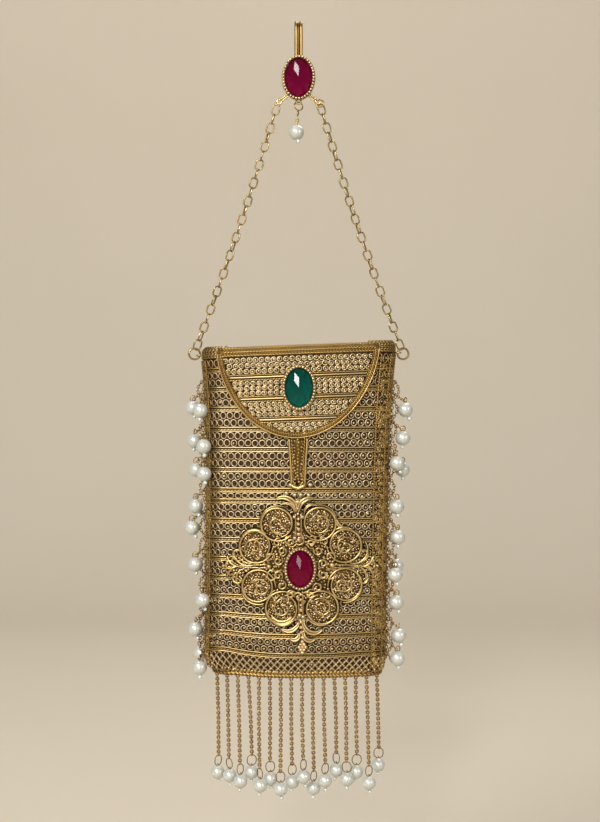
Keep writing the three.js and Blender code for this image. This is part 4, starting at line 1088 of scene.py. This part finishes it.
def pearls(name, nodes, material, shift=(0, 0, 0)):
    """Round pearls in their nodes' places, not quite true, with painted shade darker to the underside and
    the right.
    """
    middles, radii = pearl_places(nodes, shift)
    verts, faces, _ = balls(middles, radii, cuts=10)
    per_pearl = len(verts) // len(nodes)
    offset = (verts.reshape(len(nodes), per_pearl, 3) - middles[:, None]) / radii[:, None, None]
    squash = PEARL_FULL * rng.uniform(0.97, 1.0, (len(nodes), 1, 3))
    verts = middles[:, None] + offset * squash * radii[:, None, None]
    # Painted shade: darker toward the underside and the right, away from the key light.
    shine = np.clip(0.6 + 0.5 * offset[..., 2] - 0.2 * offset[..., 0], 0, 1)
    piece(name, [(verts.reshape(-1, 3), faces, shine.ravel())], material, nodes)


pearl_white = nacre("pearl_white", (0.70, 0.755, 0.71), (0.45, 0.46, 0.40), (0.74, 0.75, 0.71))
fringe_middles, fringe_radii = pearl_places(FRINGE_PEARLS, FRINGE_SHIFT)
front_line = wall(np.linspace(RUN_ENDS[3], RUN_ENDS[6], 400), BODY_HEIGHT, 0.0)
strand_x = np.linspace(*STRAND_ENDS, STRANDS)
strand_tops = join(*(np.interp(strand_x, front_line[:, 0], line) for line in front_line.T)) - [0, 0, 1.2]
base_ropes = [loop_rope(base_edge, level, FRINGE_ROPE, lay, 0.5) for level, lay in BASE_ROPES]
piece("base_plait", base_ropes, rope_gold)
fringe_parts = []
for top, middle, radius in zip(strand_tops, fringe_middles, fringe_radii):
    tip = middle + [0, 0, radius + JUMP_GAP]
    hanger = tip + [rng.uniform(-0.5, 0.5), 0, JUMP_RISE]
    bend = (top + hanger) / 2 + [rng.uniform(-0.4, 0.4), 0, 0]
    fringe_parts.append(chain(np.array([top, bend, hanger]), *STRAND_LINK))
    facing = rng.uniform(-1.2, 1.2)
    jump_way = [hanger - tip], [np.cos(facing), np.sin(facing), 0]
    fringe_parts.append(dulled(links([(tip + hanger) / 2], *jump_way, *JUMP_RING, steps=20, sides=6), 0.6))
    eye = middle + [0, 0, radius + EYE_GAP]
    fringe_parts.append(links([eye], [[0, 0, 1]], [0.5, 1, 0], *PEARL_EYE, steps=8, sides=4))
fringe_parts.append(balls(fringe_middles + (fringe_radii + 0.1)[:, None] * [0, 0, 1], 0.55))
fringe_gold = gold("fringe_gold", (0.58, 0.40, 0.15), (0.28, 0.17, 0.047), (0.022, 0.01, 0.004), 0.2)
piece("fringe_chains", fringe_parts, fringe_gold, ["chain_fringe"])
pearls("fringe_pearls", FRINGE_PEARLS, pearl_white, FRINGE_SHIFT)
seed_x, seed_y = rng.uniform(-0.8, 1.4, STRANDS), rng.uniform(-1, 0, STRANDS)
seed_offsets = join(seed_x, seed_y, -PEARL_FULL * fringe_radii - 0.9)
fringe_seeds = balls(fringe_middles + seed_offsets, rng.uniform(0.95, 1.2, STRANDS), cuts=4)
piece("fringe_seeds", [fringe_seeds], pearl_white, ())

# Side chains. A fine gilt chain is looped down each side of the pouch in scallops, beside a straight one.
# Imitation pearls hang there on short chains and jump rings that turn every way, each over a seed bead.
SIDE_TOP = 15.0
SIDE_BOTTOM = 183.0
SIDE_OFF = 1.5
SCALLOP = 3.0
SCALLOP_PITCH = 11.7
SCALLOP_FRONT = -3.0
SCALLOP_WAVE = 2.0
SCALLOP_WAVE_RUN = 5.0
LINE_BACK = 3.0
PEARL_HANG = 6.0
ANCHOR_BACK = 4
ANCHOR_LIMITS = (-14, 3)
SIDE_LINK = (1.75, 2.9, 2.0, 0.27)
LINE_LINK = (1.9, 3.0, 2.1, 0.27)
SIDE_RING = (4.4, 4.0, 0.3)
for side, word, count in ((-1, "left", 13), (1, "right", 11)):
    nodes = [f"pearl_{word}_{k:02d}" for k in range(1, count + 1)]
    middles, radii = pearl_places(nodes)
    drops = np.linspace(SIDE_TOP, SIDE_BOTTOM, 400)
    swing = SCALLOP * np.abs(np.sin(np.pi * (drops - SIDE_TOP) / SCALLOP_PITCH))
    edge = side * (half_sizes(drops)[0] + SIDE_OFF) + lean(drops)
    scallop_y = SCALLOP_FRONT + SCALLOP_WAVE * np.sin(drops / SCALLOP_WAVE_RUN)
    scallop = join(edge + side * swing, scallop_y, MOUTH_Z - drops)
    line = join(edge, LINE_BACK, MOUTH_Z - drops)
    side_parts = [chain(scallop, *SIDE_LINK), chain(line, *LINE_LINK)]
    for middle, radius in zip(middles, radii):
        drop = MOUTH_Z - middle[2] - radius - PEARL_HANG
        pearl_edge = side * (half_sizes(drop)[0] + SIDE_OFF) + lean(drop)
        anchor_y = np.clip(middle[1] + ANCHOR_BACK, *ANCHOR_LIMITS)
        anchor = np.array([pearl_edge, anchor_y, MOUTH_Z - drop])
        tip = middle + [0, 0, radius + 0.8]
        ring_width = [np.cos(middle[2]), np.sin(middle[2]), 0]
        side_parts.append(chain(np.array([anchor, tip]), *SIDE_LINK))
        side_parts.append(links([tip + [0, 0, 0.7]], [[0.2, 0, 1]], ring_width, *SIDE_RING))
        side_parts.append(balls([middle + [0, 0, radius]], 0.75, cuts=3))
    piece(f"side_scallops_{word}", side_parts, fringe_gold, [f"side_chain_{word}"])
    pearls(f"side_pearls_{word}", nodes, pearl_white)
    seed_x, seed_y = rng.uniform(-0.5, 2.4, count), rng.uniform(-1.5, 0, count)
    seed_offsets = join(seed_x, seed_y, -PEARL_FULL * radii - 0.7)
    side_seeds = balls(middles + seed_offsets, rng.uniform(1.1, 1.4, count), cuts=4)
    piece(f"side_seeds_{word}", [side_seeds], pearl_white, ())

# Corner rings and main chains. A round ring through each lug holds a cable chain of oval links, which goes
# up to the hook, every second link seen on edge. They are gilt wire, smoother and heavier than the lace.
CORNER_RING = (8.0, 8.0, 0.62)
MAIN_LINK = (5.8, 7.4, 5.4, 0.48)
CHAIN_SAG = (1.5, 0.6)
CHAIN_GAPS = (2.4, 2.9)
HOOK_FACE = -4.67
HOOK_EYES = np.array([[-12.2, HOOK_FACE, -44.8], [12.2, HOOK_FACE, -44.8]])
chain_gold = gold("chain_gold", (0.50, 0.375, 0.175), (0.25, 0.17, 0.06), (0.04, 0.02, 0.007), 0.17)
for eye, word in zip(HOOK_EYES, ("left", "right")):
    ring = np.array(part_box(f"ring_{word}")).mean(axis=0) / MM
    corner_ring = links([ring], [[0, 0, 1]], [1, 0.15, 0], *CORNER_RING, steps=24, sides=8)
    piece(f"corner_ring_{word}", [corner_ring], chain_gold, [f"ring_{word}"])
    away = unit(ring - eye)
    share = np.linspace(0, 1, 60)[:, None]
    sag = np.array([-np.sign(eye[0]) * CHAIN_SAG[0], 0, -CHAIN_SAG[1]]) * np.sin(np.pi * share)
    start = eye + away * CHAIN_GAPS[0]
    end = ring - away * CHAIN_GAPS[1]
    main_links = chain(start + (end - start) * share + sag, *MAIN_LINK, steps=18, sides=8, loose=0.4)
    piece(f"main_links_{word}", [main_links], chain_gold, [f"chain_{word}"])

# Hook. Two polished gilt wires are bent over the waistband and carry a ruby; a thinner dark wire between
# them is painted shade.
# Arms are soldered on under its cup and curl into an eye on each side for the chains.
# An eye between them holds a ring and a pin with a pearl.
HOOK_WIRE = 1.05
HOOK_X = 1.45
HOOK_BEND = 3.2
HOOK_RISE = 2.5
DROP_SIDE = -1.2
HOOK_RING = (5.4, 5.4, 0.42)
DROP_EYE = (4.0, 4.0, 0.5)
DROP_RING = (6.2, 6.2, 0.42)
DROP_LINK = (3.2, 2.6, 0.34)
DROP_KNOT = (2.8, 2.4, 0.32)
bend_y = HOOK_BEND + HOOK_WIRE
bend_z = HOOK_RISE - HOOK_BEND
bend_turn = np.linspace(0, np.pi, 25)
hook_line = np.concatenate([
    join(-bend_y, np.linspace(-40, bend_z - 0.6, 24)),
    join(-bend_y * np.cos(bend_turn), bend_z + bend_y * np.sin(bend_turn)),
    join(bend_y, np.linspace(bend_z - 0.6, -38, 24)),
])


def legs(x, line, radius, sides):
    """A wire along a line in y and z, on the plane that cuts the hook from front to back at x."""
    return wires(lambda y, z, out: join(x + out, y, z), line[None], radius, 0.0, sides=sides)


def bent(points, radius):
    """A round wire through points across and up, on the plane of the hook's face."""
    path = even(np.array(points), 0.5)[None]
    return wires(lambda x, z, out: join(x, HOOK_FACE - out, z), path, radius, 0.0, sides=8)


# The hook ruby's deep colour, painted light colour and painted glow colour.
hook_ruby_colours = (0.10, 0.0004, 0.018), (0.165, 0.001, 0.034), (0.18, 0.001, 0.03)
hook_ruby = glass("hook_ruby_glass", *hook_ruby_colours, 0.12)
hook_seat = stone("hook_stone", "hook_ruby", hook_ruby, 108)
arm_curl = scrolls([[-11.6, -45.0, 1.4, 1.4, 70, 400]], 30)[0]
long_arm = np.concatenate([[[-4.6, -38.6], [-10.4, -43.3]], arm_curl])
short_arm = np.array([[-4.2, -39.8], [-10.2, -44.9]])
# The middle wire is dulled: painted shade between the two polished wires.
hook_parts = [dulled(legs(0.0, hook_line * [0.88, 1] - [0, 0.4], 0.7, 8), 0.45)]
for side in (1, -1):
    hook_parts += [
        legs(-side * HOOK_X, hook_line, HOOK_WIRE, 10),
        bent(long_arm * [side, 1], 0.56),
        bent(short_arm * [side, 1], 0.5),
    ]
hook_parts += [
    links([[12.9, HOOK_FACE - 0.6, -46.2]], [[-0.3, 0, 1]], [1, 0.1, 0.3], *HOOK_RING, steps=20, sides=6),
    links([[0, HOOK_FACE, -44.9]], [[0, 0, 1]], [1, 0, 0], *DROP_EYE, steps=16, sides=6),
]
hook_gold = gold("hook_gold", (0.66, 0.46, 0.20), (0.36, 0.23, 0.08), (0.04, 0.02, 0.007), 0.17)
piece("hook_wires", hook_parts, hook_gold, ["waist_hook"])
piece("hook_setting", setting(*hook_seat), setting_gold)
hook_pearl, hook_pearl_radius = pearl_places(["hook_pearl"])
drop_middle = hook_pearl + [DROP_SIDE, 0, 0]
drop_parts = [
    links([[0, HOOK_FACE, -47.7]], [[0, 0.25, 1]], [1, 0.4, 0], *DROP_RING, steps=18, sides=6),
    links([[-0.4, HOOK_FACE, -51.9]], [[0.1, 0, 1]], [0.3, 1, 0], *DROP_LINK, steps=12, sides=6),
    bent([[-0.5, -53.2], [DROP_SIDE, -59.8]], 0.36),
    links([[-0.8, HOOK_FACE, -56.4]], [[0.1, 0, 1]], [1, 0.2, 0], *DROP_KNOT, steps=12, sides=6),
    balls(drop_middle + hook_pearl_radius * [0, 0, 1], 0.8, cuts=3),
]
piece("hook_pin", drop_parts, chain_gold, ["hook_drop"])
pearls("hook_drop_pearl", ["hook_pearl"], pearl_white, (DROP_SIDE, 0, 0))
hook_seed = balls(drop_middle + [1.1, -0.8, -hook_pearl_radius[0] - 1.2], 1.3, cuts=4)
piece("hook_seed", [hook_seed], pearl_white, ())

# Stage. A plain pale sweep is floor and far backdrop in one. Soft light comes from the upper left, with a
# weak fill from the right, a rim light above and behind, and one on the backdrop. Three small far windows
# light a facet of each stone. The camera looks level, from slightly to the right.
FLOOR_Z = -0.56
SWEEP_ROUND = 0.9
SWEEP_BACK = 2.5
SWEEP_REACH = 12.0
SWEEP_TOP = 4.0
DAYLIGHT = (1.0, 0.98, 0.95)
sweep_turn = np.linspace(0, np.pi / 2, 16)
sweep_y = SWEEP_BACK - SWEEP_ROUND + SWEEP_ROUND * np.sin(sweep_turn)
sweep_y = np.concatenate([[-SWEEP_REACH], sweep_y, [SWEEP_BACK]])
sweep_z = FLOOR_Z + np.concatenate([[0.0], SWEEP_ROUND - SWEEP_ROUND * np.cos(sweep_turn), [SWEEP_TOP]])
sweep_verts = [(x, y, z) for x in (-SWEEP_REACH, SWEEP_REACH) for y, z in zip(sweep_y, sweep_z)]
rows = len(sweep_y)
sweep_mesh = bpy.data.meshes.new("sweep")
sweep_mesh.from_pydata(sweep_verts, [], [(k, rows + k, rows + k + 1, k + 1) for k in range(rows - 1)])
sweep_mesh.polygons.foreach_set("use_smooth", np.ones(rows - 1, dtype=bool))
sweep_finish, sweep_shader, sweep_spot = finish("pale_sweep", {"Roughness": 0.9})
noise(sweep_spot, 3.0).blend((0.70, 0.63, 0.52, 1), (0.74, 0.67, 0.56, 1)).to(sweep_shader, "Base Color")
sweep_mesh.materials.append(sweep_finish)
sweep = placed("sweep", sweep_mesh)


def aimed(name, data, place, aim):
    """A lamp or a camera at a place, turned to face its aim."""
    made = placed(name, data)
    made.location = place
    made.rotation_euler = (Vector(aim) - Vector(place)).to_track_quat("-Z", "Y").to_euler()
    return made


def soft_light(name, place, size, power, colour, aim=(0, 0, -0.23)):
    """A square soft light that faces the middle of the object, or another aim."""
    lamp = bpy.data.lights.new(name, "AREA")
    lamp.size = size
    lamp.energy = power
    lamp.color = colour
    aimed(name, lamp, place, aim)


soft_light("key", (-0.75, -1.15, 0.55), 0.45, 11.0, (1.0, 0.96, 0.90))
soft_light("fill", (1.75, -1.6, 0.35), 0.9, 9.4, (1.0, 0.97, 0.93))
soft_light("window", (-0.637, -4.4, 0.86), 0.42, 49.0, DAYLIGHT)
soft_light("high_window", (-0.555, -4.4, 1.99), 0.36, 26.0, DAYLIGHT)
soft_light("low_window", (-0.447, -4.4, 0.371), 0.42, 10.7, DAYLIGHT)
soft_light("rim", (0.3, 0.7, 0.8), 0.6, 3.5, (1.0, 0.97, 0.92))
soft_light("backdrop", (-0.2, 0.5, 1.9), 1.6, 18.5, (1.0, 0.97, 0.92), (-0.2, 2.5, 0.2))
world = bpy.data.worlds.new("studio")
world.use_nodes = True
world.node_tree.nodes["Background"].inputs["Color"].default_value = (0.86, 0.83, 0.78, 1)
world.node_tree.nodes["Background"].inputs["Strength"].default_value = 0.32
bpy.context.scene.world = world
bpy.context.scene.view_settings.view_transform = "Standard"

CAMERA_AZIMUTH = np.radians(0.8)
CAMERA_DISTANCE = 1.0
CAMERA_TARGET = Vector((0.0008, 0.0, -0.2312))
lens = bpy.data.cameras.new("camera")
lens.sensor_width = 36.0
lens.lens = 72.4
camera_way = Vector((np.sin(CAMERA_AZIMUTH), -np.cos(CAMERA_AZIMUTH), 0))
camera_place = CAMERA_TARGET + CAMERA_DISTANCE * camera_way
bpy.context.scene.camera = aimed("camera", lens, camera_place, CAMERA_TARGET)
